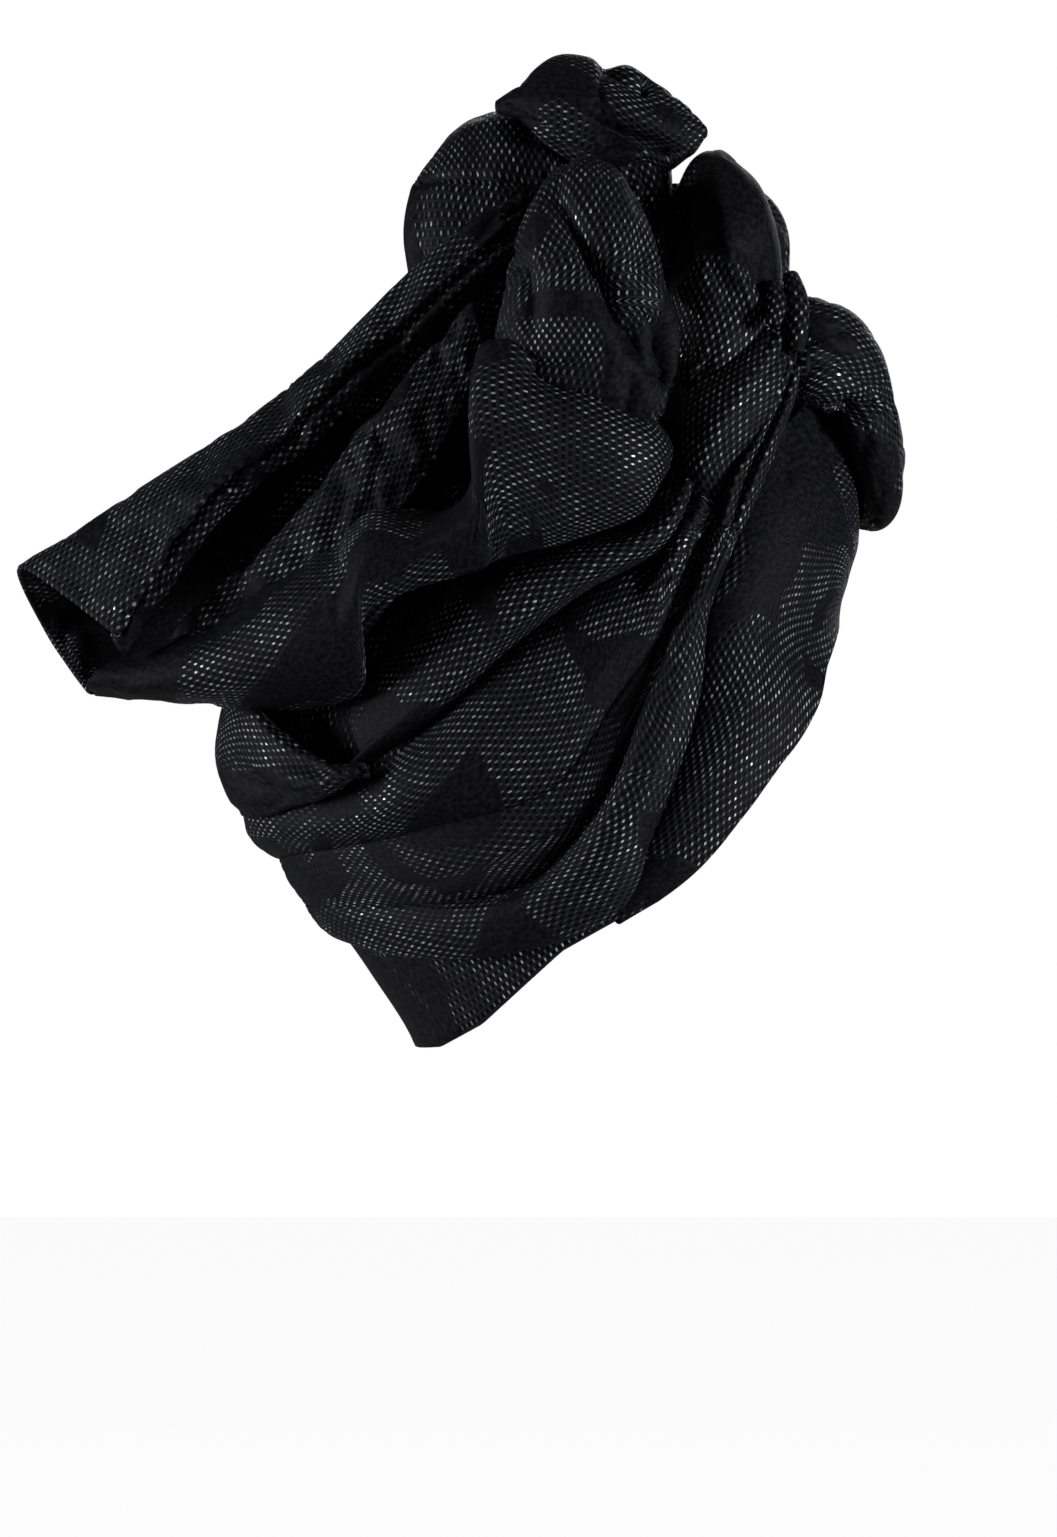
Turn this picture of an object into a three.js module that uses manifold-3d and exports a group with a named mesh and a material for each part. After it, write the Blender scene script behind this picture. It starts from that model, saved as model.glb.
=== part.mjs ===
// A draped turban headwrap of black cloth: a tall crown that the head goes into, a smooth band over the
// brow, a sash that runs in folds round the sides and back, and loops, a knot and a free tail tied on top.
// Millimetres. +X is the wearer's forward, +Y the wearer's left and +Z up. The origin is the middle of the
// head opening, halfway between the brow's edge and the nape's.
import * as THREE from "three";
import Module from "manifold-3d";

// Driving sizes.
const CLOTH = 2.2; // wall of doubled cloth
const SEAM_GAP = 0.3; // clearance where one piece lies on another
const CRUMB = 0.05; // size of the slivers that are smoothed away along a cut
const WRAP_CENTRE_X = 10; // where the plan of the wrap is widest

// The tall form that the cloth is wound on: at each height, how far it reaches forward, back and sideways.
const WRAP = [
  { z: -80, front: 94, back: -73, half: 67 },
  { z: -50, front: 104, back: -91, half: 75 },
  { z: -20, front: 109, back: -112, half: 79 },
  { z: 10, front: 108, back: -125, half: 79 },
  { z: 40, front: 97, back: -126, half: 76 },
  { z: 70, front: 71, back: -110, half: 73 },
  { z: 100, front: 77, back: -84, half: 70 },
  { z: 130, front: 73, back: -58, half: 60 },
  { z: 160, front: 60, back: -36, half: 44 },
  { z: 190, front: 36, back: -14, half: 20 },
];
const WRAP_STEP = WRAP[1].z - WRAP[0].z;
const CROWN_TOP = 192;
const CROWN_LIFT = -1; // the crown lies just inside the wrap

// The edge of the head opening in side view, from the brow down past the ear to the nape.
const RIM = [
  { x: 75, z: 77 },
  { x: 68, z: 50 },
  { x: 54, z: 22 },
  { x: 33, z: -7 },
  { x: 8, z: -27 },
  { x: -23, z: -44 },
  { x: -51, z: -69 },
  { x: -66, z: -77 },
  { x: -90, z: -78 },
];

// Stand for the middle of the brow and the middle of the back wherever the wrap is that far out.
const BROW = Infinity;
const BACK = -Infinity;

// Lines of the sash from the gather beside the knot to the middle of the back. Each place is its x, its
// height and its lift off the wrap; a ridge stands out and a valley lies close.
const SASH_FOLDS = [
  { line: "upper_valley", kind: "valley", gather: [22, 117, 3], front: [14, 98, 3], side: [-13, 81, 3],
    flank: [-41, 60, 3], turn: [-65, 36, 3], rear: [-97, 14, 3], back: [BACK, 12, 3] },
  { line: "broad_fold", kind: "ridge", gather: [26, 118, 5], front: [15, 85, 8], side: [-6, 64, 9],
    flank: [-34, 38, 12], turn: [-72, 12, 17], rear: [-104, 2, 14], back: [BACK, 1, 11] },
  { line: "under_fold", kind: "valley", gather: [29, 119, 4], front: [14, 75, 6], side: [-2, 47, 7],
    flank: [-28, 12, 6], turn: [-72, -3, 5], rear: [-100, -8, 4], back: [BACK, -9, 5] },
  { line: "smooth_side", kind: "ridge", gather: [32, 120, 4], front: [14, 64, 7], side: [-2, 28, 8],
    flank: [-22, 0, 8], turn: [-62, -17, 7], rear: [-92, -20, 7], back: [BACK, -20, 6] },
  { line: "swag_valley", kind: "valley", gather: [35, 121, 3], front: [22, 92, 3], side: [7, 50, 3],
    flank: [-9, 8, 3], turn: [-34, -20, 3], rear: [-76, -28, 3], back: [BACK, -28, 3] },
  { line: "swag", kind: "ridge", gather: [39, 123, 8], front: [29, 82, 12], side: [16, 43, 13],
    flank: [1, 5, 14], turn: [-22, -27, 14], rear: [-66, -38, 11], back: [BACK, -33, 6] },
  { line: "swag_edge", kind: "valley", gather: [44, 126, 6], front: [34, 92, 6], side: [25, 47, 6],
    flank: [10, 1, 6], turn: [-8, -33, 6], rear: [-62, -46, 4], back: [BACK, -37, 3] },
];

// The roll above the sash on each side, from the gather to where it tucks in behind.
const SIDE_ROLL = [
  { line: "upper_crease", kind: "valley", gather: [20, 119, 7], front: [5, 104, 5], side: [-24, 96, 4],
    flank: [-51, 88, 3], turn: [-72, 70, 3], rear: [-93, 45, 3] },
  { line: "roll", kind: "ridge", gather: [21, 118.5, 9], front: [12, 102, 16], side: [-20, 86, 19],
    flank: [-48, 65, 19], turn: [-69, 44, 17], rear: [-92, 25, 10] },
  { line: "lower_crease", kind: "valley", gather: [22, 118, 7], front: [14, 98.5, 6.5], side: [-13, 81.5, 6.5],
    flank: [-41, 60.5, 6.5], turn: [-65, 37, 6.5], rear: [-97, 16, 6] },
];

// The band over the brow, from its tip by the ear up to the middle of the forehead.
const BROW_LINES = [
  { line: "edge", kind: "valley", tip: [-3, -33.5, 3], ear: [22, -17, 3.5], temple: [40, 4, 4],
    hairline: [57, 27, 4], brow: [69, 54, 4], inner: [73.5, 72, 3.5], middle: [BROW, 77, 3] },
  { line: "face", kind: "ridge", tip: [-4, -32.5, 3], ear: [14, -13, 6], temple: [28, 14, 8],
    hairline: [43, 50, 8], brow: [57, 90, 8], inner: [68, 104, 6], middle: [BROW, 106, 4] },
  { line: "seam", kind: "valley", tip: [-5, -31.5, 3], ear: [4, -13, 3], temple: [13, 10, 3],
    hairline: [26, 47, 3], brow: [36, 92, 3], inner: [47, 131, 3], middle: [BROW, 158, 3] },
];

// The long sash across the side, from the gather over a soft bulge and back along the tail to its mouth.
const LONG_SASH = [
  { at: "gather", lip: [18, -68, 142], crest: [22, -76, 131], belly: [24, -75, 124], hem: [26, -71, 119.5] },
  { at: "shoulder", lip: [8, -80, 157], crest: [5, -97, 138], belly: [5, -95, 118], hem: [5, -84, 106] },
  { at: "bulge", lip: [-22, -80, 162], crest: [-22, -103, 139], belly: [-22, -99, 111], hem: [-22, -87, 99] },
  { at: "cheek", lip: [-50, -72, 162], crest: [-51, -100, 138], belly: [-44, -100, 107], hem: [-40, -88, 95] },
  { at: "corner", lip: [-56, -72, 134], crest: [-54, -95, 119], belly: [-55, -98, 101], hem: [-54, -89, 90] },
  { at: "rib", lip: [-68, -76, 110], crest: [-70, -93, 102], belly: [-72, -93, 94], hem: [-74, -86, 83] },
  { at: "neck", lip: [-87, -72, 107], crest: [-88, -88, 97], belly: [-90, -90, 86], hem: [-91, -82, 73] },
  { at: "flank", lip: [-102, -66, 96], crest: [-101, -83, 84], belly: [-96, -86, 66], hem: [-93, -74, 50] },
  { at: "middle", lip: [-118, -60, 87], crest: [-120, -76, 74], belly: [-115, -78, 56], hem: [-110, -58, 43] },
  { at: "outer", lip: [-146, -50, 69], crest: [-148, -62, 60], belly: [-147, -62, 49], hem: [-144, -42, 43] },
  { at: "mouth", lip: [-166, -42, 55], crest: [-173, -49, 50.5], belly: [-176, -46, 45.5], hem: [-176, -30, 44] },
];

// The back of the tail: a hemmed flap, the fold along its top, the far wall and the keel beneath.
const TAIL = [
  { at: "mouth", flap: [-179, -54, 68], top: [-211, -22, 90], wall: [-203, 4, 68], keel: [-188, -22, 47] },
  { at: "outer", flap: [-149, -54, 113], top: [-166, -26, 119], wall: [-160, 8, 88], keel: [-157, -38, 43] },
  { at: "middle", flap: [-114, -53, 144], top: [-119, -30, 150], wall: [-114, 2, 112], keel: [-118, -56, 45] },
  { at: "inner", flap: [-83, -53, 173], top: [-88, -37, 178], wall: [-84, -22, 146], keel: [-98, -66, 60] },
  { at: "root", flap: [-49, -54, 205], top: [-55, -46, 209], wall: [-52, -42, 186], keel: [-62, -62, 112] },
];

// The fold inside the tail that rises from its near wall to the root.
const TAIL_FOLD = [
  { at: "mouth", back: [-158, -24, 58], ridge: [-160, -38, 62], front: [-156, -43, 57] },
  { at: "outer", back: [-146, -26, 72], ridge: [-146, -45, 79], front: [-140, -51, 69] },
  { at: "middle", back: [-116, -30, 100], ridge: [-115, -54, 106], front: [-103, -66, 93] },
  { at: "inner", back: [-90, -40, 132], ridge: [-88, -60, 139], front: [-76, -68, 112] },
  { at: "root", back: [-60, -50, 168], ridge: [-54, -63, 180], front: [-49, -64, 162] },
];

// The cupped end of the sash behind the head: its foot on the sash, its belly and the lip of the cup.
const COWL = [
  { at: "tip", foot: [-94, -76, 17], belly: [-95, -78, 20], lip: [-95, -77, 22] },
  { at: "side", foot: [-103, -58, 11], belly: [-108, -68, 15], lip: [-106, -66, 20] },
  { at: "bend", foot: [-117, -38, 11], belly: [-125, -52, 16], lip: [-119, -54, 30] },
  { at: "outer", foot: [-127, -16, 11], belly: [-138, -28, 20], lip: [-131, -40, 41] },
  { at: "back", foot: [-128, 6, 12], belly: [-140, 2, 28], lip: [-138, -10, 46] },
  { at: "left", foot: [-121, 29, 13], belly: [-132, 34, 28], lip: [-130, 32, 42] },
  { at: "end", foot: [-105, 52, 16], belly: [-111, 58, 24], lip: [-110, 56, 32] },
];

// Bands of cloth that bow out from a spine. across is the direction of the band's width; wide and bow are
// its width and how far it bows; arc is how far the section turns in on each side, in degrees.
const BANDS = [
  {
    name: "centre_loop", across: [1, 0, -0.25], arc: [-115, 115],
    folds: [{ turn: 22, depth: 9, spread: 26, from: 0, to: 4.4 }],
    rows: [
      { x: -13, y: -94, z: 150, wide: 59, bow: 12 },
      { x: -14, y: -88, z: 167, wide: 63, bow: 20 },
      { x: -15, y: -78, z: 187, wide: 58, bow: 27 },
      { x: -18, y: -62, z: 201, wide: 48, bow: 29 },
      { x: -20, y: -44, z: 207, wide: 37, bow: 23 },
      { x: -20, y: -28, z: 205, wide: 30, bow: 14 },
    ],
  },
  {
    name: "crown_loop", across: [1, 0, -0.2], arc: [-110, 128],
    folds: [{ turn: -20, depth: 4, spread: 24, from: 1, to: 5 }],
    rows: [
      { x: 27, y: -56, z: 151, wide: 14, bow: 8 },
      { x: 31, y: -50, z: 168, wide: 26, bow: 15 },
      { x: 34, y: -40, z: 187, wide: 38, bow: 21 },
      { x: 36, y: -27, z: 204, wide: 33, bow: 23 },
      { x: 34, y: -12, z: 215, wide: 24, bow: 20 },
      { x: 31, y: 0, z: 219, wide: 17, bow: 16 },
    ],
  },
  {
    name: "far_loop", across: [1, 0, -0.2], arc: [-122, 122],
    folds: [
      { turn: 26, depth: 7, spread: 28, from: 0, to: 5 },
      { turn: -30, depth: 6, spread: 26, from: 0, to: 4 },
    ],
    rows: [
      { x: 34, y: 76, z: 111, wide: 26, bow: 6 },
      { x: 32, y: 64, z: 140, wide: 60, bow: 17 },
      { x: 28, y: 52, z: 170, wide: 72, bow: 26 },
      { x: 26, y: 40, z: 191, wide: 62, bow: 27 },
      { x: 20, y: 26, z: 206, wide: 44, bow: 19 },
      { x: 12, y: 12, z: 213, wide: 28, bow: 11 },
    ],
  },
  {
    name: "rear_loop", across: [1, 0, 0.25], arc: [-126, 126],
    folds: [
      { turn: 20, depth: 5, spread: 24, from: 0, to: 3 },
      { turn: -14, depth: 7, spread: 28, from: 4, to: 8.6 },
    ],
    rows: [
      { x: -49, y: -10, z: 190, wide: 50, bow: 18 },
      { x: -51, y: -9, z: 205, wide: 50, bow: 21 },
      { x: -50, y: -4, z: 217, wide: 47, bow: 23 },
      { x: -47, y: 8, z: 226, wide: 42, bow: 25 },
      { x: -46, y: 24, z: 219, wide: 46, bow: 26 },
      { x: -46, y: 38, z: 197, wide: 54, bow: 26 },
      { x: -46, y: 47, z: 168, wide: 60, bow: 24 },
      { x: -46, y: 55, z: 136, wide: 60, bow: 18 },
      { x: -44, y: 67, z: 99, wide: 50, bow: 8 },
    ],
  },
  {
    name: "top_knot", across: [0, 0, 1], arc: [-128, 168],
    folds: [
      { turn: -12, depth: 6, spread: 24, from: 2.2, to: 4.8 },
      { turn: 62, depth: 5, spread: 22, from: 2.6, to: 5 },
    ],
    rows: [
      { x: -43, y: -14, z: 251, wide: 7, bow: 5 },
      { x: -33, y: -12, z: 250, wide: 20, bow: 14 },
      { x: -22, y: -10, z: 250.5, wide: 35, bow: 21 },
      { x: -8, y: -9, z: 245.5, wide: 35, bow: 23 },
      { x: 3, y: -9, z: 245.5, wide: 35, bow: 22 },
      { x: 12, y: -9, z: 243, wide: 28, bow: 18 },
      { x: 22, y: -10, z: 240.5, wide: 15, bow: 11 },
      { x: 28, y: -10, z: 240, wide: 6, bow: 5 },
    ],
  },
  {
    name: "knot_neck", across: [1, 0, 0], arc: [-160, 160], folds: [],
    rows: [
      { x: 4, y: -14, z: 228, wide: 25, bow: 16 },
      { x: 6, y: -14, z: 216, wide: 22, bow: 15 },
      { x: 7, y: -14, z: 204, wide: 21, bow: 14 },
      { x: 7, y: -14, z: 195, wide: 22, bow: 14 },
    ],
  },
  {
    name: "gather_band", across: [0.8, 0, 0.6], arc: [-105, 105],
    folds: [{ turn: 20, depth: 3, spread: 22, from: 0.5, to: 3 }],
    rows: [
      { x: 56, y: -50, z: 170, wide: 11, bow: 6 },
      { x: 49, y: -61, z: 160, wide: 20, bow: 10 },
      { x: 41, y: -69, z: 149, wide: 26, bow: 13 },
      { x: 33, y: -75, z: 137, wide: 26, bow: 13 },
      { x: 28, y: -79, z: 125, wide: 17, bow: 8 },
    ],
  },
  {
    name: "front_loop", across: [-0.3, 0, 1], arc: [-122, 112],
    folds: [{ turn: -28, depth: 4, spread: 22, from: 0.4, to: 2.6 }],
    rows: [
      { x: 60, y: -36, z: 166, wide: 33, bow: 13 },
      { x: 67, y: -34, z: 164, wide: 34, bow: 15 },
      { x: 77, y: -23, z: 156, wide: 36, bow: 13 },
      { x: 82, y: -6, z: 140, wide: 47, bow: 12 },
      { x: 81, y: 12, z: 132, wide: 55, bow: 11 },
      { x: 73, y: 31, z: 134, wide: 50, bow: 11 },
      { x: 61, y: 45, z: 142, wide: 36, bow: 9 },
    ],
  },
];

// Narrow pleats that run from the binding beside the knot down between the sash and the brow band.
const PLEATS = [
  { name: "binding_front", rows: [
    { x: 57, y: -44, z: 190, radius: 2.2 },
    { x: 58.5, y: -52, z: 182, radius: 3.6 },
    { x: 59, y: -57, z: 172, radius: 3.4 },
    { x: 58, y: -61, z: 163, radius: 2.2 }] },
  { name: "binding_back", rows: [
    { x: 50.5, y: -52, z: 187, radius: 2 },
    { x: 51.5, y: -58, z: 180, radius: 3 },
    { x: 50, y: -66, z: 172, radius: 2 }] },
  { name: "front_pleat", rows: [
    { x: 56, y: -66, z: 154, radius: 2.4 },
    { x: 50, y: -74, z: 139, radius: 3.4 },
    { x: 44, y: -80, z: 120, radius: 3.4 },
    { x: 39, y: -82, z: 102, radius: 1.8 }] },
];

// Cloth colours and sheen.
const JACQUARD = new THREE.MeshStandardMaterial({ color: "#16171b", roughness: 0.62, metalness: 0.05 });

const wasm = await Module();
wasm.setup();

// Catmull-Rom value between the second and third of four numbers.
function blend(a, b, c, d, f) {
  return b + 0.5 * f * (c - a + f * (2 * a - 5 * b + 4 * c - d + f * (3 * (b - c) + d - a)));
}

// A number read from each row of a table, at a fractional row.
function between(rows, read, t) {
  const last = rows.length - 1;
  const i = Math.max(0, Math.min(Math.floor(t), last - 1));
  const at = (k) => read(rows[Math.max(0, Math.min(last, k))]);
  return blend(at(i - 1), at(i), at(i + 1), at(i + 2), t - i);
}

// A point read from each row of a table, at a fractional row.
function pointBetween(rows, read, t) {
  return new THREE.Vector3(...[0, 1, 2].map((k) => between(rows, (row) => read(row)[k], t)));
}

// Reach of the wrap at a height.
function wrapAt(z) {
  const t = (z - WRAP[0].z) / WRAP_STEP;
  const read = (column) => between(WRAP, (row) => row[column], t);
  return { front: read("front") - WRAP_CENTRE_X, back: WRAP_CENTRE_X - read("back"), half: read("half") };
}

// Point of the wrap at a height, turned from the brow (0) by the right ear to the nape (pi), lifted off it.
function onWrap(turn, z, lift) {
  const { front, back, half } = wrapAt(z);
  const reach = (Math.cos(turn) > 0 ? front : back) + lift;
  return new THREE.Vector3(WRAP_CENTRE_X + reach * Math.cos(turn), -(half + lift) * Math.sin(turn), z);
}

// Turn at which the lifted wrap has a given x.
function turnAt(x, z, lift) {
  const { front, back } = wrapAt(z);
  const reach = (x > WRAP_CENTRE_X ? front : back) + lift;
  return Math.acos(Math.max(-1, Math.min(1, (x - WRAP_CENTRE_X) / reach)));
}

// Height of the head opening's edge at x.
function rimAt(x) {
  const k = Math.max(1, RIM.findIndex((row) => row.x <= x));
  const [a, b] = [RIM[k - 1], RIM[k]];
  return a.z + ((b.z - a.z) * (x - a.x)) / (b.x - a.x);
}

// Height at which the wrap meets the head opening's edge at a turn.
function rimHeight(turn) {
  let [low, high] = [RIM[RIM.length - 1].z - 1, RIM[0].z + 20];
  for (let pass = 0; pass < 40; pass += 1) {
    const z = (low + high) / 2;
    if (z < rimAt(onWrap(turn, z, 0).x)) low = z;
    else high = z;
  }
  return (low + high) / 2;
}

// Rows of points over a patch, from a function of two counts.
function grid(along, across, place) {
  return Array.from({ length: along }, (_, i) => Array.from({ length: across }, (_, j) => place(i, j)));
}

// Lines of folds as turn, height and lift at each named station.
function foldLines(table) {
  return table.map(({ line, kind, ...stations }) => ({
    kind,
    stations: Object.values(stations).map(([x, z, lift]) => [turnAt(x, z, lift), z, lift]),
  }));
}

// Sheet of folds over the wrap: between a valley and a ridge the section is a quarter of an ellipse.
// With around, the sheet goes on past its last station and back along the other side of the head.
function foldSheet(table, { steps, perFold, around = false, side = 1 }) {
  const lines = foldLines(table);
  const last = lines[0].stations.length - 1;
  const span = around ? 2 * last : last;
  const share = 0.55; // of the roundness of a fold's flank, against a straight slope
  return grid(steps + 1, (lines.length - 1) * perFold + 1, (i, j) => {
    const t = (i / steps) * span;
    const station = t <= last ? t : 2 * last - t;
    const k = Math.min(Math.floor(j / perFold), lines.length - 2);
    const f = j / perFold - k;
    const [a, b] = [lines[k], lines[k + 1]].map(({ stations }) =>
      [0, 1, 2].map((column) => between(stations, (row) => row[column], station)));
    const rising = lines[k].kind === "valley";
    const quick = Math.sin((f * Math.PI) / 2);
    const slow = 1 - Math.cos((f * Math.PI) / 2);
    const sideways = share * (rising ? slow : quick) + (1 - share) * f;
    const outward = rising ? quick : slow;
    const mix = (column, w) => a[column] + (b[column] - a[column]) * w;
    const point = onWrap(mix(0, sideways), mix(1, sideways), mix(2, outward));
    point.y *= t > last ? -side : side;
    return point;
  });
}

// Sheet through named lines: each row of the table is a section, each column after its name a line.
function linedSheet(table, { steps, perLine }) {
  const columns = Object.keys(table[0]).slice(1);
  const last = table.length - 1;
  return grid(steps + 1, (columns.length - 1) * perLine + 1, (i, j) => {
    const section = columns.map((column) => pointBetween(table, (row) => row[column], (i / steps) * last));
    return pointBetween(section, (point) => point.toArray(), j / perLine);
  });
}

// How deep a crease is cut at a place along and round a band.
function creaseDepth(folds, t, turn) {
  return folds.reduce((sum, fold) => {
    const away = Math.abs(turn - fold.turn) / fold.spread;
    const run = Math.sin(Math.PI * Math.max(0, Math.min(1, (t - fold.from) / (fold.to - fold.from))));
    return away < 1 ? sum + fold.depth * (1 - away) ** 2 * Math.sqrt(run) : sum;
  }, 0);
}

// Band that bows out from its spine.
function bandSheet({ rows, across, arc, folds }, { steps, around }) {
  const last = rows.length - 1;
  const spine = (t) => pointBetween(rows, (row) => [row.x, row.y, row.z], Math.max(0, Math.min(last, t)));
  const middle = rows.reduce((sum, row) => sum.add(new THREE.Vector3(row.x, row.y, row.z)), new THREE.Vector3());
  middle.divideScalar(rows.length).lerp(new THREE.Vector3(WRAP_CENTRE_X, 0, rows[0].z), 0.5);
  return grid(steps + 1, around + 1, (i, j) => {
    const t = (i / steps) * last;
    const centre = spine(t);
    const run = spine(t + 0.1).sub(spine(t - 0.1)).normalize();
    const side = new THREE.Vector3(...across);
    side.addScaledVector(run, -side.dot(run)).normalize();
    const out = new THREE.Vector3().crossVectors(run, side);
    if (out.dot(centre.clone().sub(middle)) < 0) out.negate();
    const turn = arc[0] + ((arc[1] - arc[0]) * j) / around;
    const angle = THREE.MathUtils.degToRad(turn);
    const [wide, bow] = ["wide", "bow"].map((column) => between(rows, (row) => row[column], t));
    const dent = creaseDepth(folds, t, turn);
    return centre
      .addScaledVector(side, (wide / 2) * Math.sin(angle))
      .addScaledVector(out, bow * Math.cos(angle) - dent);
  });
}

// Crown over the wrap, from the head opening's edge to the top.
function crownSheet({ steps, around }) {
  return grid(steps + 1, around, (i, j) => {
    const turn = (j / around) * 2 * Math.PI;
    const low = rimHeight(turn) + 1.5 * (1 + Math.cos(turn));
    return onWrap(turn, low + (CROWN_TOP - low) * (i / steps) ** 0.9, CROWN_LIFT);
  });
}

// Unit normals of a grid of points.
function normals(points, closed) {
  const [n, m] = [points.length, points[0].length];
  return grid(n, m, (i, j) => {
    const [left, right] = closed ? [(j + m - 1) % m, (j + 1) % m] : [Math.max(0, j - 1), Math.min(m - 1, j + 1)];
    const along = points[Math.min(n - 1, i + 1)][j].clone().sub(points[Math.max(0, i - 1)][j]);
    const across = points[i][right].clone().sub(points[i][left]);
    return along.cross(across).normalize();
  });
}

// Closed wall of cloth about a grid of points. closed joins the last column to the first; capped closes
// the last row to a point.
function wallGeometry(points, thickness, { closed = false, capped = false } = {}) {
  const [n, m] = [points.length, points[0].length];
  const facing = normals(points, closed);
  const position = [];
  const index = [];
  const layer = (offset) =>
    points.forEach((row, i) =>
      row.forEach((point, j) => position.push(...point.clone().addScaledVector(facing[i][j], offset).toArray())));
  layer(thickness / 2);
  layer(-thickness / 2);
  const outer = (i, j) => i * m + (j % m);
  const inner = (i, j) => n * m + outer(i, j);
  const quad = (a, b, c, d) => index.push(a, b, c, a, c, d);
  const columns = closed ? m : m - 1;
  for (let i = 0; i < n - 1; i += 1) {
    for (let j = 0; j < columns; j += 1) {
      quad(outer(i, j), outer(i + 1, j), outer(i + 1, j + 1), outer(i, j + 1));
      quad(inner(i, j), inner(i, j + 1), inner(i + 1, j + 1), inner(i + 1, j));
    }
    if (!closed) {
      quad(outer(i, 0), inner(i, 0), inner(i + 1, 0), outer(i + 1, 0));
      quad(outer(i, m - 1), outer(i + 1, m - 1), inner(i + 1, m - 1), inner(i, m - 1));
    }
  }
  for (let j = 0; j < columns; j += 1) {
    quad(outer(0, j), outer(0, j + 1), inner(0, j + 1), inner(0, j));
    if (!capped) quad(outer(n - 1, j), inner(n - 1, j), inner(n - 1, j + 1), outer(n - 1, j + 1));
  }
  if (capped) {
    [outer, inner].forEach((at, side) => {
      const pole = position.length / 3;
      const middle = new THREE.Vector3();
      for (let j = 0; j < m; j += 1) middle.add(new THREE.Vector3().fromArray(position, 3 * at(n - 1, j)));
      position.push(...middle.divideScalar(m).toArray());
      for (let j = 0; j < m; j += 1) {
        if (side === 0) index.push(at(n - 1, j), pole, at(n - 1, j + 1));
        else index.push(at(n - 1, j), at(n - 1, j + 1), pole);
      }
    });
  }
  return { position, index };
}

// Solid from a closed wall, turned to face out.
function solidOf({ position, index }) {
  const make = (triVerts) =>
    new wasm.Manifold(new wasm.Mesh({
      numProp: 3, vertProperties: new Float32Array(position), triVerts: new Uint32Array(triVerts) }));
  const solid = make(index);
  if (solid.volume() > 0) return solid;
  return make(index.map((_, k) => index[k - (k % 3) + [0, 2, 1][k % 3]]));
}

// Solid round pleat along a tapering spine.
function pleatGeometry({ rows }, grow) {
  const sides = 8;
  const steps = 10;
  const last = rows.length - 1;
  const spine = (t) => pointBetween(rows, (row) => [row.x, row.y, row.z], Math.max(0, Math.min(last, t)));
  const position = [];
  const index = [];
  for (let i = 0; i <= steps; i += 1) {
    const t = (i / steps) * last;
    const run = spine(t + 0.1).sub(spine(t - 0.1)).normalize();
    const side = new THREE.Vector3(1, 0, 0).addScaledVector(run, -run.x).normalize();
    const out = new THREE.Vector3().crossVectors(run, side);
    const radius = between(rows, (row) => row.radius, t) + grow;
    for (let j = 0; j < sides; j += 1) {
      const angle = (j / sides) * 2 * Math.PI;
      const point = spine(t).addScaledVector(side, radius * Math.cos(angle));
      position.push(...point.addScaledVector(out, radius * Math.sin(angle)).toArray());
    }
  }
  const at = (i, j) => i * sides + (j % sides);
  for (let i = 0; i < steps; i += 1) {
    for (let j = 0; j < sides; j += 1) {
      index.push(at(i, j), at(i, j + 1), at(i + 1, j + 1), at(i, j), at(i + 1, j + 1), at(i + 1, j));
    }
  }
  for (let j = 1; j < sides - 1; j += 1) {
    index.push(at(0, 0), at(0, j + 1), at(0, j), at(steps, 0), at(steps, j), at(steps, j + 1));
  }
  return { position, index };
}

// Grid of points with its free edges moved out.
function spread(points, grow, { closed = false, capped = false } = {}) {
  const [n, m] = [points.length, points[0].length];
  const away = (from, next) => from.clone().sub(next).normalize().multiplyScalar(grow);
  return grid(n, m, (i, j) => {
    const point = points[i][j].clone();
    if (i === 0) point.add(away(points[0][j], points[1][j]));
    if (i === n - 1 && !capped) point.add(away(points[n - 1][j], points[n - 2][j]));
    if (j === 0 && !closed) point.add(away(points[i][0], points[i][1]));
    if (j === m - 1 && !closed) point.add(away(points[i][m - 1], points[i][m - 2]));
    return point;
  });
}

// A piece of cloth as a function of how much its wall is grown.
const wallPiece = (name, points, thickness, options) => ({
  name,
  build: (grow) => solidOf(wallGeometry(spread(points, grow, options), thickness + 2 * grow, options)),
});

// Pieces in the order that they are laid: each is cut back from those before it.
const pieces = [
  wallPiece("crown", crownSheet({ steps: 7, around: 26 }), CLOTH, { closed: true, capped: true }),
  wallPiece("brow_band", foldSheet(BROW_LINES, { steps: 28, perFold: 3, around: true }), CLOTH),
  wallPiece("sash", foldSheet(SASH_FOLDS, { steps: 32, perFold: 2, around: true }), CLOTH),
  wallPiece("right_roll", foldSheet(SIDE_ROLL, { steps: 12, perFold: 3 }), CLOTH),
  wallPiece("left_roll", foldSheet(SIDE_ROLL, { steps: 12, perFold: 3, side: -1 }), CLOTH),
  wallPiece("cowl", linedSheet(COWL, { steps: 18, perLine: 3 }), CLOTH),
  wallPiece("long_sash", linedSheet(LONG_SASH, { steps: 24, perLine: 2 }), CLOTH),
  wallPiece("tail", linedSheet(TAIL, { steps: 12, perLine: 3 }), CLOTH),
  wallPiece("tail_fold", linedSheet(TAIL_FOLD, { steps: 10, perLine: 3 }), CLOTH),
  ...BANDS.map((band) => wallPiece(band.name, bandSheet(band, { steps: 11, around: 10 }), CLOTH)),
  ...PLEATS.map((pleat) => ({ name: pleat.name, build: (grow) => solidOf(pleatGeometry(pleat, grow)) })),
];

// The largest body of a solid, without the crumbs that a cut leaves.
function largest(solid) {
  return solid.decompose().reduce((a, b) => (b.volume() > a.volume() ? b : a));
}

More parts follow.
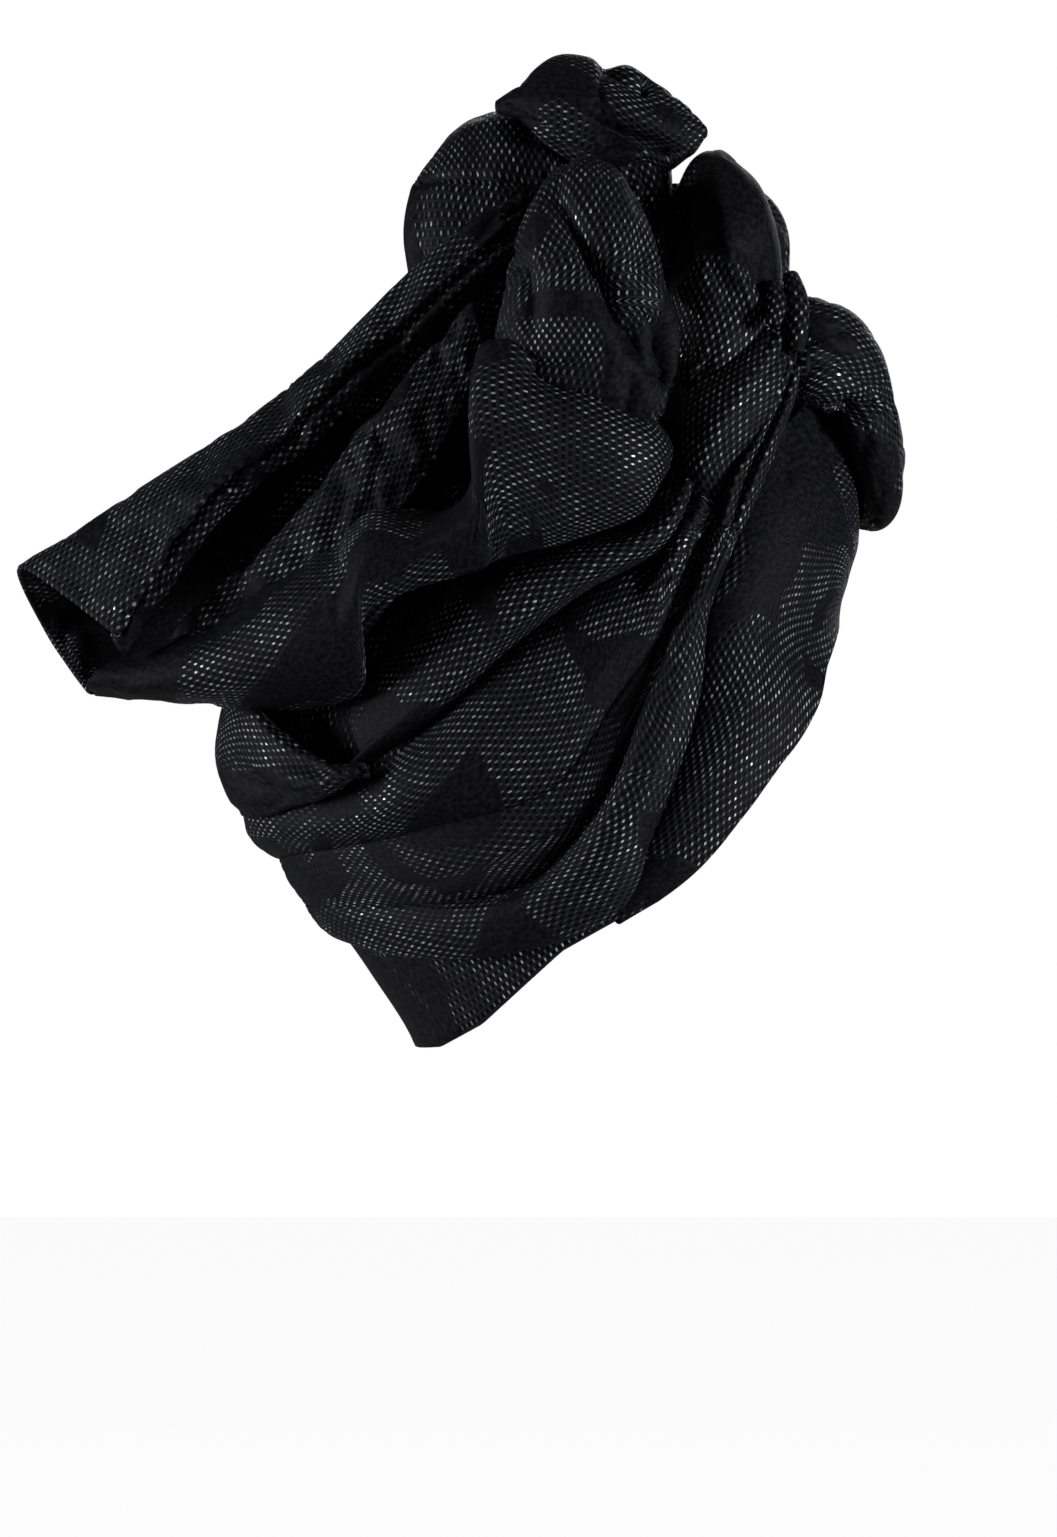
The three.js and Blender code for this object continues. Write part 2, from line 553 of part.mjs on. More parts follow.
// Mesh of a solid.
function meshOf(name, solid) {
  const { vertProperties, triVerts } = solid.getMesh();
  const geometry = new THREE.BufferGeometry();
  geometry.setAttribute("position", new THREE.BufferAttribute(new Float32Array(vertProperties), 3));
  geometry.setIndex(new THREE.BufferAttribute(new Uint32Array(triVerts), 1));
  geometry.computeVertexNormals();
  const mesh = new THREE.Mesh(geometry, JACQUARD);
  mesh.name = name;
  return mesh;
}

const turban = new THREE.Group();
const laid = [];
for (const { name, build } of pieces) {
  const cut = laid.reduce((solid, before) => solid.subtract(before), build(0));
  turban.add(meshOf(name, largest(cut).simplify(CRUMB)));
  laid.push(build(SEAM_GAP));
}

export default turban;
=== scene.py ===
"""Dress the turban headwrap as draped black jacquard and set it in a plain studio."""

import logging
import math
from abc import ABC, abstractmethod
from dataclasses import dataclass, field
from enum import Enum
from functools import partial
from typing import ClassVar, NamedTuple

import bpy
import numpy as np
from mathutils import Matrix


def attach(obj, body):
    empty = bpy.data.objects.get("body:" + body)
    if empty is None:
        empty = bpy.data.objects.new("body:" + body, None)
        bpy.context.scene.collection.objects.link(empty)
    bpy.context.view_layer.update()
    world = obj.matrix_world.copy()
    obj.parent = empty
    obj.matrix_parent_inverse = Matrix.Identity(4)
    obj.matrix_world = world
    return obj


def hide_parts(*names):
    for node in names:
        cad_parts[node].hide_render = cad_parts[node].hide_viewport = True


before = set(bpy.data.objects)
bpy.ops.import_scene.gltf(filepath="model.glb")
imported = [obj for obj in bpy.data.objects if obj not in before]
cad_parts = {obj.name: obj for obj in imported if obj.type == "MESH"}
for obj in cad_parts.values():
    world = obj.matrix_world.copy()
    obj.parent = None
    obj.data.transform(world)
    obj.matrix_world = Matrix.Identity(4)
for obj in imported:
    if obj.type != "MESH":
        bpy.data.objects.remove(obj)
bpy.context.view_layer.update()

Array = np.ndarray
LOG = logging.getLogger("turban")
MM = 0.001


class Fold(Enum):
    """What a named line of a folded sheet is."""

    RIDGE = "ridge"
    VALLEY = "valley"


class Held(Enum):
    """How a sheet of cloth is held in its place."""

    DRAPED = "draped"
    GATHERED = "gathered"
    FOLDED = "folded"
    STRETCHED = "stretched"


def linear(hex_colour: str) -> tuple[float, float, float, float]:
    """Turn an sRGB hex colour into linear RGBA.

    Args:
        hex_colour: Six hex digits after a hash sign.

    Returns:
        Red, green, blue and an alpha of one.
    """
    channels = [int(hex_colour[k : k + 2], 16) / 255 for k in (1, 3, 5)]
    steps = [c / 12.92 if c <= 0.04045 else ((c + 0.055) / 1.055) ** 2.4 for c in channels]
    return (steps[0], steps[1], steps[2], 1.0)


def catmull(rows: Array, t: Array) -> Array:
    """Read a table smoothly at fractional rows.

    Args:
        rows: Table of shape (rows, ...).
        t: Fractional row numbers, of any shape.

    Returns:
        Values of shape t.shape + rows.shape[1:].
    """
    last = len(rows) - 1
    i = np.clip(np.floor(t).astype(int), 0, last - 1)
    f = (t - i).reshape(t.shape + (1,) * (rows.ndim - 1))
    a, b, c, d = (rows[np.clip(i + k, 0, last)] for k in (-1, 0, 1, 2))
    return b + 0.5 * f * (c - a + f * (2 * a - 5 * b + 4 * c - d + f * (3 * (b - c) + d - a)))


def unit(vectors: Array) -> Array:
    """Scale vectors to a length of one."""
    return vectors / np.maximum(np.linalg.norm(vectors, axis=-1, keepdims=True), 1e-9)


def grid_normals(points: Array) -> Array:
    """Find the unit normals of a grid of points.

    Args:
        points: Grid of shape (along, across, 3).

    Returns:
        Normals of the same shape.
    """
    return unit(np.cross(np.gradient(points, axis=0), np.gradient(points, axis=1)))


def grid_quads(index: Array) -> Array:
    """Join a grid of vertex numbers into quads.

    Args:
        index: Vertex numbers in a grid.

    Returns:
        Four vertex numbers a row.
    """
    corners = (index[:-1, :-1], index[1:, :-1], index[1:, 1:], index[:-1, 1:])
    return np.stack(corners, axis=-1).reshape(-1, 4)


class SmoothNoise:
    """Seeded value noise that wanders between -1 and 1."""

    def __init__(self, seed: int, size: int = 64) -> None:
        """Fill the lattice from a seed."""
        self.lattice = np.random.default_rng(seed).uniform(-1, 1, (size, size))
        self.size = size

    def at(self, x: Array, y: Array) -> Array:
        """Read the noise at points of a plane.

        Args:
            x: First coordinate, one unit to a bump.
            y: Second coordinate, of the same shape.

        Returns:
            Values of the same shape.
        """
        x, y = np.broadcast_arrays(np.asarray(x, float), np.asarray(y, float))
        i, j = np.floor(x).astype(int), np.floor(y).astype(int)
        f, g = x - i, y - j
        f, g = f * f * f * (f * (f * 6 - 15) + 10), g * g * g * (g * (g * 6 - 15) + 10)
        corners = ((0, 0), (1, 0), (0, 1), (1, 1))
        a, b, c, d = (self.lattice[(i + p) % self.size, (j + q) % self.size] for p, q in corners)
        return (a * (1 - f) + b * f) * (1 - g) + (c * (1 - f) + d * f) * g


class WrapSection(NamedTuple):
    """Reach of the wound form at one height, in millimetres."""

    z: float
    front: float
    back: float
    half: float


class RimPoint(NamedTuple):
    """A point of the head opening's edge in side view, in millimetres."""

    x: float
    z: float


@dataclass(frozen=True)
class WrapForm:
    """The tall form that the cloth is wound on.

    Attributes:
        centre_x: Where its plan is widest.
        sections: Its reach at even heights.
        rim: Edge of the head opening, from the brow to the nape.
        open_top: Depth below its top in which nothing is pushed out.
        search: How far below and above the rim the search for its height starts.
        halvings: Steps of that search.
    """

    centre_x: float = 10.0
    sections: tuple[WrapSection, ...] = (
        WrapSection(-80, 94, -73, 67),
        WrapSection(-50, 104, -91, 75),
        WrapSection(-20, 109, -112, 79),
        WrapSection(10, 108, -125, 79),
        WrapSection(40, 97, -126, 76),
        WrapSection(70, 71, -110, 73),
        WrapSection(100, 77, -84, 70),
        WrapSection(130, 73, -58, 60),
        WrapSection(160, 60, -36, 44),
        WrapSection(190, 36, -14, 20),
    )
    rim: tuple[RimPoint, ...] = (
        RimPoint(75, 77),
        RimPoint(68, 50),
        RimPoint(54, 22),
        RimPoint(33, -7),
        RimPoint(8, -27),
        RimPoint(-23, -44),
        RimPoint(-51, -69),
        RimPoint(-66, -77),
        RimPoint(-90, -78),
    )
    open_top: float = 2.0
    search: tuple[float, float] = (1.0, 20.0)
    halvings: int = 40

    def reach(self, z: Array) -> tuple[Array, Array, Array]:
        """Give how far the form reaches at heights.

        Args:
            z: Heights.

        Returns:
            Reach forward, back and sideways.
        """
        table = np.array(self.sections)
        step = table[1, 0] - table[0, 0]
        values = catmull(table[:, 1:], np.asarray((z - table[0, 0]) / step))
        return values[..., 0] - self.centre_x, self.centre_x - values[..., 1], values[..., 2]

    def on(self, turn: Array, z: Array, lift: Array) -> Array:
        """Place points on the form.

        Args:
            turn: Turn from the brow (0) past the right ear to the nape (pi).
            z: Height.
            lift: Distance off the form.

        Returns:
            Points of shape turn.shape + (3,).
        """
        front, back, half = self.reach(z)
        reach = np.where(np.cos(turn) > 0, front, back) + lift
        x = self.centre_x + reach * np.cos(turn)
        return np.stack([x, -(half + lift) * np.sin(turn), z + 0 * turn], axis=-1)

    def turn_at(self, x: Array, z: Array, lift: Array) -> Array:
        """Find the turn at which the lifted form has a given x.

        Args:
            x: Places fore and aft.
            z: Heights.
            lift: Distances off the form.

        Returns:
            Turns from the brow, in radians.
        """
        front, back, _ = self.reach(z)
        reach = np.where(x > self.centre_x, front, back) + lift
        return np.arccos(np.clip((x - self.centre_x) / reach, -1, 1))

    def rim_height(self, turn: Array) -> Array:
        """Find the height of the head opening's edge.

        Args:
            turn: Turns from the brow, in radians.

        Returns:
            Heights of the same shape.
        """
        xs, zs = np.array(self.rim)[::-1].T
        under, over = self.search
        low, high = np.full(turn.shape, zs[0] - under), np.full(turn.shape, zs[-1] + over)
        for _ in range(self.halvings):
            z = (low + high) / 2
            below = z < np.interp(self.on(turn, z, 0 * z)[..., 0], xs, zs)
            low, high = np.where(below, z, low), np.where(below, high, z)
        return (low + high) / 2

    def pushed_out(self, points: Array, margin: float) -> Array:
        """Move points that are inside the form, or too close to it, out of it.

        Args:
            points: Points of any grid shape.
            margin: Least distance off the form.

        Returns:
            The moved points.
        """
        lowest, highest = self.sections[0].z, self.sections[-1].z
        z = np.clip(points[..., 2], lowest, highest)
        front, back, half = self.reach(z)
        dx, y = points[..., 0] - self.centre_x, points[..., 1]
        ratio = np.maximum(np.hypot(dx / np.where(dx > 0, front, back), y / half), 1e-6)
        radius = np.maximum(np.hypot(dx, y) / ratio, 1e-6)
        inside = (ratio * radius < radius + margin) & (points[..., 2] < highest - self.open_top)
        scale = np.where(inside, (radius + margin) / (ratio * radius), 1.0)
        moved = points.copy()
        moved[..., 0] = self.centre_x + dx * scale
        moved[..., 1] = y * scale
        return moved


FORM = WrapForm()


@dataclass(frozen=True)
class Pleating:
    """Soft pleats that run along a sheet.

    Attributes:
        count: Pleats across the sheet.
        depth: Height of a pleat at its fullest, in millimetres.
        strength: Share of that depth at even stations along the sheet.
        drift: How far a pleat wanders sideways, in pleats.
        sharp: Under one for round pleats with sharp valleys.
        seed: Seed of the unevenness.
    """

    count: float
    depth: float
    strength: tuple[float, ...]
    drift: float = 0.5
    sharp: float = 0.8
    seed: int = 1

    WANDERS: ClassVar[tuple[float, float]] = (3.0, 0.6)  # Bends along a pleat and between pleats.
    HEIGHT: ClassVar[tuple[float, float]] = (0.7, 0.45)  # Mean height of a pleat and how far it varies.
    CHANGES: ClassVar[tuple[float, float]] = (1.37, 2.2)  # Changes of height between pleats and along one.
    PLACE: ClassVar[tuple[float, float]] = (9.5, 0.61)  # Where in the noise the heights are read.
    MIDDLE: ClassVar[float] = 0.5

    def lift(self, u: Array, v: Array) -> Array:
        """Give the lift of the pleats over a sheet.

        Args:
            u: Share of the length.
            v: Share of the width.

        Returns:
            Lift in millimetres.
        """
        noise = SmoothNoise(self.seed)
        bends, apart = self.WANDERS
        phase = self.count * v + self.drift * noise.at(u * bends, v * self.count * apart)
        crest = np.abs(np.sin(np.pi * phase)) ** self.sharp
        pleat = np.floor(phase)
        sideways, along = self.CHANGES
        start, shear = self.PLACE
        mean, vary = self.HEIGHT
        uneven = mean + vary * noise.at(pleat * sideways + start, u * along + pleat * shear)
        share = catmull(np.array(self.strength, float), u * (len(self.strength) - 1))
        return self.depth * share * (crest * uneven - self.MIDDLE)


@dataclass(frozen=True)
class Crumple:
    """Small soft dents all over a sheet.

    Attributes:
        depth: Their height, in millimetres.
        along: Their length along the sheet, in millimetres.
        across: Their width, in millimetres.
        seed: Seed of the unevenness.
    """

    depth: float = 0.5
    along: float = 34.0
    across: float = 15.0
    seed: int = 5

    FINER: ClassVar[tuple[float, float]] = (2.3, 2.1)  # Small dents to a large one, along and across.
    PLACE: ClassVar[tuple[float, float]] = (7.0, 3.0)  # Where in the noise the small dents are read.
    FINE_SHARE: ClassVar[float] = 0.4

    def lift(self, run: Array, width: Array) -> Array:
        """Give the lift of the dents over a sheet.

        Args:
            run: Distance along the sheet, in millimetres.
            width: Distance across the sheet, in millimetres.

        Returns:
            Lift in millimetres.
        """
        noise = SmoothNoise(self.seed)
        along, across = run / self.along, width / self.across
        fine = noise.at(along * self.FINER[0] + self.PLACE[0], across * self.FINER[1] + self.PLACE[1])
        return self.depth * (noise.at(along, across) + self.FINE_SHARE * fine)


class View(Enum):
    """A side that a stroke is drawn from: its two axes, the axis it looks along and that axis's sign."""

    RIGHT = (0, 2, 1, -1)
    LEFT = (0, 2, 1, 1)
    TOP = (0, 1, 2, 1)


class Stroke(NamedTuple):
    """A crease drawn on a sheet from one side.

    Attributes:
        path: Points across and up, in millimetres.
        depth: Depth, or height of a ridge if negative, in millimetres.
        reach: How far its sides reach, in millimetres.
        view: Side that it is drawn from.
        broad: 1 for a sharp crease, more for a hollow with a flat bottom.
    """

    path: tuple[tuple[float, float], ...]
    depth: float
    reach: float
    view: View = View.RIGHT
    broad: float = 1.0

    STEPS = 8  # Straight steps for each point of the path.
    ENDS = 0.03  # Share of the path at which its ends begin to show.
    FACING = (2.2, 0.1)  # How fast a stroke fades where the sheet turns from view.

    def lift(self, points: Array, facing: Array) -> Array:
        """Give the stroke's lift on a sheet.

        Args:
            points: Grid of points.
            facing: Normals at the points.

        Returns:
            Distances along the normals, in millimetres.
        """
        across, up, look, sign = self.view.value
        flat = points[..., [across, up]]
        rows = np.array(self.path, float)
        path = catmull(rows, np.linspace(0, len(rows) - 1, self.STEPS * len(rows)))
        away = np.full(points.shape[:2], np.inf)
        share = np.zeros(points.shape[:2])
        for k in range(len(path) - 1):
            way = path[k + 1] - path[k]
            along = np.clip((flat - path[k]) @ way / (way @ way), 0, 1)
            gap = np.linalg.norm(flat - path[k] - along[..., None] * way, axis=-1)
            share = np.where(gap < away, (k + along) / (len(path) - 1), share)
            away = np.minimum(away, gap)
        fade = np.sqrt(np.sin(np.pi * np.clip(share, self.ENDS, 1 - self.ENDS)))
        seen = np.clip(facing[..., look] * sign * self.FACING[0] + self.FACING[1], 0, 1)
        return -self.depth * fade * seen * (1 - np.clip(away / self.reach, 0, 1) ** self.broad) ** 2


@dataclass(frozen=True)
class Settling:
    """Lets a laid sheet settle as cloth, so that its spare length buckles between the held edges.

    Attributes:
        spare: Share of length that the cloth has to spare.
        hold: How firmly the sheet keeps to where it was laid, from nought to one.
        bend: Stiffness against bending.
        most: Farthest that a point may move, in millimetres.
        frames: Steps of time.
        step_mm: Size of a cell of the sheet that settles.
    """

    spare: float = 0.04
    hold: float = 0.15
    bend: float = 0.4
    most: float = 4.5
    frames: int = 16
    step_mm: float = 3.6

    SCALE: ClassVar[float] = 0.01  # The solver is steadier at ten times the real size.
    MASS: ClassVar[float] = 0.15
    GRAVITY: ClassVar[float] = 0.25
    EDGE_CELLS: ClassVar[int] = 2  # Cells of the held edge.

    def settled(self, points: Array, name: str) -> Array:
        """Give a sheet after it has settled.

        Args:
            points: Grid of points, in millimetres.
            name: Name of the sheet.

        Returns:
            The grid with every point moved.
        """
        n, m = points.shape[:2]
        long = np.linalg.norm(np.diff(points, axis=0), axis=-1).sum(axis=0).max()
        wide = np.linalg.norm(np.diff(points, axis=1), axis=-1).sum(axis=1).max()
        edge = self.EDGE_CELLS
        rows, columns = (
            np.linspace(0, count - 1, min(count, int(size / self.step_mm) + 2 * edge)).round().astype(int)
            for count, size in ((n, long), (m, wide))
        )
        laid = points[np.ix_(rows, columns)]
        index = np.arange(laid.shape[0] * laid.shape[1]).reshape(laid.shape[:2])
        mesh = bpy.data.meshes.new(f"{name}_laid")
        mesh.from_pydata((laid.reshape(-1, 3) * self.SCALE).tolist(), [], grid_quads(index).tolist())
        sheet = bpy.data.objects.new(mesh.name, mesh)
        bpy.context.collection.objects.link(sheet)
        inner = index[edge:-edge, edge:-edge].reshape(-1).tolist()
        held = sheet.vertex_groups.new(name="held")
        held.add(np.setdiff1d(index, inner).tolist(), 1.0, "REPLACE")
        held.add(inner, self.hold, "REPLACE")
        modifier = sheet.modifiers.new("cloth", "CLOTH")
        cloth = modifier.settings
        cloth.vertex_group_mass = "held"
        cloth.shrink_min = -self.spare
        cloth.mass = self.MASS
        cloth.bending_stiffness = self.bend
        cloth.effector_weights.gravity = self.GRAVITY
        modifier.point_cache.frame_end = self.frames
        for step in range(1, self.frames + 1):
            bpy.context.scene.frame_set(step)
        after = sheet.evaluated_get(bpy.context.evaluated_depsgraph_get()).to_mesh()
        moved = np.empty(len(after.vertices) * 3)
        after.vertices.foreach_get("co", moved)
        bpy.data.objects.remove(sheet)
        bpy.data.meshes.remove(mesh)
        bpy.context.scene.frame_set(1)
        shift = moved.reshape(laid.shape) / self.SCALE - laid
        far = np.linalg.norm(shift, axis=-1, keepdims=True)
        shift = shift * self.most * np.tanh(far / self.most) / np.maximum(far, 1e-9)
        LOG.info("%s settled by %.1f mm at most, %.1f mm on average", name, far.max(), far.mean())
        spread = catmull(shift, np.interp(np.arange(n), rows, np.arange(len(rows))))
        spread = catmull(spread.swapaxes(0, 1), np.interp(np.arange(m), columns, np.arange(len(columns))))
        return points + spread.swapaxes(0, 1)


@dataclass
class ClothPiece(ABC):
    """A sheet of cloth that stands for one solid of the headwrap.

    Attributes:
        node: Name of the solid.
        held: How the sheet is held; not used.
        rests_on: Names of the sheets that it lies on; not used.
        along: Cells along the sheet.
        across: Cells across the sheet.
        wall: Thickness of the cloth, in millimetres.
        pleats: Pleats that run along it.
        strokes: Creases and ridges drawn on it.
        crumple: Small dents all over it.
        settling: How it settles as cloth, or None where it is drawn tight.
        margin: Least distance from the wound form, or None where it may lie inside.
        shift: Where on the woven length the sheet was cut, in metres.
    """

    node: str
    held: Held
    rests_on: tuple[str, ...]
    along: int
    across: int
    wall: float = 1.6
    pleats: tuple[Pleating, ...] = ()
    strokes: tuple[Stroke, ...] = ()
    crumple: Crumple = field(default_factory=Crumple)
    settling: Settling | None = field(default_factory=Settling)
    margin: float | None = 0.6
    shift: tuple[float, float] = (0.0, 0.0)

    @abstractmethod
    def surface(self) -> Array:
        """Give the sheet's middle surface as a grid of points, in millimetres."""

    @abstractmethod
    def inside(self, points: Array) -> Array:
        """Give points on the sheet's inner side, one for each point of a grid."""

    @property
    def name(self) -> str:
        """Name of the cloth."""
        return f"{self.node}_cloth"

    def shaped(self) -> Array:
        """Give the middle surface with its pleats and dents, facing out.

        Returns:
            Grid of points, in millimetres.
        """
        points = self.surface()
        if np.mean(np.sum(grid_normals(points) * (points - self.inside(points)), axis=-1)) < 0:
            points = points[:, ::-1]
        u, v = np.meshgrid(*(np.linspace(0, 1, count) for count in points.shape[:2]), indexing="ij")
        run, width = self.measure(points)
        lift = self.crumple.lift(run, width)
        for pleating in self.pleats:
            lift = lift + pleating.lift(u, v)
        points = points + grid_normals(points) * lift[..., None]
        for stroke in self.strokes:
            facing = grid_normals(points)
            points = points + facing * stroke.lift(points, facing)[..., None]
        if self.settling:
            points = self.settling.settled(points, self.name)
        return points if self.margin is None else FORM.pushed_out(points, self.margin)

    def measure(self, points: Array) -> tuple[Array, Array]:
        """Measure along and across a sheet.

        Args:
            points: Grid of points.

        Returns:
            Distance along from the first row, and across from the middle column, at every point.
        """
        steps = np.linalg.norm(np.diff(points, axis=0), axis=-1)
        run = np.concatenate([[0], np.cumsum(steps.mean(axis=1))])[:, None] + 0 * points[..., 0]
        gaps = np.linalg.norm(np.diff(points, axis=1), axis=-1)
        width = np.concatenate([np.zeros((len(points), 1)), np.cumsum(gaps, axis=1)], axis=1)
        return run, width - width[:, points.shape[1] // 2][:, None]

    def build(self, cloth: bpy.types.Material) -> bpy.types.Object:
        """Args:
            cloth: Material of the sheet.

        Returns:
            The finished piece.
        """
        points = self.shaped()
        piece = bpy.data.objects.new(self.name, self.mesh(points, cloth))
        bpy.context.collection.objects.link(piece)
        self.declare(piece, points)
        return piece

    def mesh(self, points: Array, cloth: bpy.types.Material) -> bpy.types.Mesh:
        """Make the sheet's wall.

        Args:
            points: Middle surface of the sheet.
            cloth: Material of the sheet.

        Returns:
            The wall, with its material.
        """
        run, width = self.measure(points)
        mesh = WallMesh(points, self.wall, run, width, self.shift).made(self.name)
        mesh.materials.append(cloth)
        return mesh

    def declare(self, piece: bpy.types.Object, points: Array) -> None:
        """Parent the piece to the root body and hide the solid that it stands for.

        Args:
            piece: Object that was built.
            points: Middle surface of the sheet; not used.
        """
        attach(piece, "root")
        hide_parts(self.node)


@dataclass
class WallMesh:
    """A closed wall of cloth about a grid of points.

    Attributes:
        points: Middle surface, in millimetres.
        wall: Thickness, in millimetres.
        run: Distance along the cloth at every point.
        width: Distance across the cloth at every point.
        shift: Offset of the weave, in metres.
    """

    points: Array
    wall: float
    run: Array
    width: Array
    shift: tuple[float, float]

    def made(self, name: str) -> bpy.types.Mesh:
        """Make the wall with a rounded edge.

        Args:
            name: Name of the mesh.

        Returns:
            The mesh, with the weave's map in metres.
        """
        n, m = self.points.shape[:2]
        facing = grid_normals(self.points)
        index = np.arange(n * m).reshape(n, m)
        loop = np.concatenate([index[:-1, 0], index[-1, :-1], index[:0:-1, -1], index[0, :0:-1]])
        flat = self.points.reshape(-1, 3)
        ring = flat[loop]
        tangent = np.roll(ring, -1, axis=0) - np.roll(ring, 1, axis=0)
        rim = ring + unit(np.cross(tangent, facing.reshape(-1, 3)[loop])) * self.wall * 0.5
        offset = facing.reshape(-1, 3) * self.wall / 2
        vertices = np.concatenate([flat + offset, flat - offset, rim])
        quads = grid_quads(index)
        edge = 2 * n * m + np.arange(len(loop))
        after, edge_after = np.roll(loop, -1), np.roll(edge, -1)
        faces = np.concatenate(
            [
                quads,
                quads[:, ::-1] + n * m,
                np.stack([after, loop, edge, edge_after], axis=-1),
                np.stack([edge_after, edge, loop + n * m, after + n * m], axis=-1),
            ]
        )
        place = np.stack([self.run, self.width], axis=-1).reshape(-1, 2) * MM + np.array(self.shift)
        weave = np.concatenate([place, place, place[loop]])
        return mesh_from(name, vertices * MM, faces, weave)


def mesh_from(name: str, vertices: Array, faces: Array, weave: Array) -> bpy.types.Mesh:
    """Make a smooth mesh of quads with a map.

    Args:
        name: Name of the mesh.
        vertices: Points in metres.
        faces: Four vertex numbers a row.
        weave: Place on the woven cloth for each vertex, in metres.

    Returns:
        The mesh.
    """
    mesh = bpy.data.meshes.new(name)
    mesh.from_pydata(vertices.tolist(), [], faces.tolist())
    layer = mesh.uv_layers.new(name="weave")
    layer.data.foreach_set("uv", weave[faces.reshape(-1)].astype(np.float32).reshape(-1))
    mesh.polygons.foreach_set("use_smooth", np.ones(len(faces), dtype=bool))
    mesh.update()
    return mesh


MATH, VECTOR, MIX = "ShaderNodeMath", "ShaderNodeVectorMath", "ShaderNodeMix"
NOISE, RANGE = "ShaderNodeTexNoise", "ShaderNodeMapRange"
MIX_FIRST, MIX_SECOND, MIX_RESULT = 6, 7, 2  # Colour sockets of a mix node.


def node(
    tree: bpy.types.NodeTree, kind: str, values: dict | tuple = (), out: int | str = 0, **settings: object
) -> bpy.types.NodeSocket | None:
    """Add a node with its settings and links.

    Args:
        tree: Nodes to add to.
        kind: Type of node.
        values: Value or source socket for each input, in order, or by name or number.
        out: Number or name of the output to give.
        settings: Properties of the node.

    Returns:
        That output, or None where the node has none.
    """
    made = tree.nodes.new(kind)
    for key, value in settings.items():
        setattr(made, key, value)
    for key, value in (values if isinstance(values, dict) else dict(enumerate(values))).items():
        if isinstance(value, bpy.types.NodeSocket):
            tree.links.new(value, made.inputs[key])
        else:
            made.inputs[key].default_value = value
    return made.outputs[out] if len(made.outputs) else None


class FoldLine(NamedTuple):
    """A ridge or valley of a folded sheet: its x, height and lift off the form at each station."""

    name: str
    kind: Fold
    stations: tuple[tuple[float, float, float], ...]


BROW, BACK = 1e6, -1e6  # Far enough forward or back to reach the middle line.


@dataclass
class FoldedWrap(ClothPiece):
    """A sheet of folds wound over the form.

    Attributes:
        lines: Ridges and valleys in order across the sheet.
        around: Whether it goes on past the last station and back along the other side.
        side: 1 on the wearer's right, -1 on the left.
        roundness: Share of roundness in a fold's flank.
    """

    lines: tuple[FoldLine, ...] = ()
    around: bool = False
    side: int = 1
    roundness: float = 0.55

    def surface(self) -> Array:
        """Give the folds between the lines.

        Returns:
            Grid of points, in millimetres.
        """
        table = np.array([line.stations for line in self.lines])
        turns = FORM.turn_at(table[..., 0], table[..., 1], table[..., 2])
        table = np.stack([turns, table[..., 1], table[..., 2]], axis=-1)
        last = table.shape[1] - 1
        t = np.linspace(0, 2 * last if self.around else last, self.along + 1)
        station = np.where(t <= last, t, 2 * last - t)
        read = catmull(table.swapaxes(0, 1), station)
        gaps = len(self.lines) - 1
        place = np.linspace(0, gaps, self.across + 1)
        k = np.clip(np.floor(place).astype(int), 0, gaps - 1)
        f = place - k
        quick, slow = np.sin(f * np.pi / 2), 1 - np.cos(f * np.pi / 2)
        rising = np.array([line.kind is Fold.VALLEY for line in self.lines])[k]
        sideways = self.roundness * np.where(rising, slow, quick) + (1 - self.roundness) * f
        outward = np.where(rising, quick, slow)
        first, second = read[:, k], read[:, k + 1]
        mixed = first + (second - first) * np.stack([sideways, sideways, outward], axis=-1)
        points = FORM.on(mixed[..., 0], mixed[..., 1], mixed[..., 2])
        points[..., 1] *= np.where(t > last, -self.side, self.side)[:, None]
        return points

    def inside(self, points: Array) -> Array:
        """Give the form's middle line beside each point."""
        return np.stack([0 * points[..., 0] + FORM.centre_x, 0 * points[..., 1], points[..., 2]], axis=-1)


Move = tuple[float, float, float]


@dataclass
class LinedCloth(ClothPiece):
    """A sheet through named lines.

    Attributes:
        sections: A row for each section along the sheet, with the point where it meets each line.
        first_edge: Moves from the first line to the lines of its turned edge, nearest first.
        last_edge: Moves from the last line to the lines of its turned edge, nearest first.
        core: A point on the inner side of the sheet.
    """

    sections: tuple[tuple[tuple[float, float, float], ...], ...] = ()
    first_edge: tuple[Move, ...] = ()
    last_edge: tuple[Move, ...] = ()
    core: tuple[float, float, float] = (-40.0, -40.0, 100.0)

    def surface(self) -> Array:
        """Give the sheet through its lines and turned edges.

        Returns:
            Grid of points, in millimetres.
        """
        table = np.array(self.sections, float)
        columns = [table[:, k] for k in range(table.shape[1])]
        before = [columns[0] + move for move in self.first_edge[::-1]]
        after = [columns[-1] + move for move in self.last_edge]
        table = np.stack(before + columns + after, axis=1)
        rows = catmull(table, np.linspace(0, len(table) - 1, self.along + 1))
        across = np.linspace(0, table.shape[1] - 1, self.across + 1)
        return catmull(rows.swapaxes(0, 1), across).swapaxes(0, 1)

    def inside(self, points: Array) -> Array:
        """Give the core for every point."""
        return np.array(self.core) + 0 * points


class Spine(NamedTuple):
    """A section of a loop: the middle of its band, the band's width and how far it bows out."""

    x: float
    y: float
    z: float
    wide: float
    bow: float


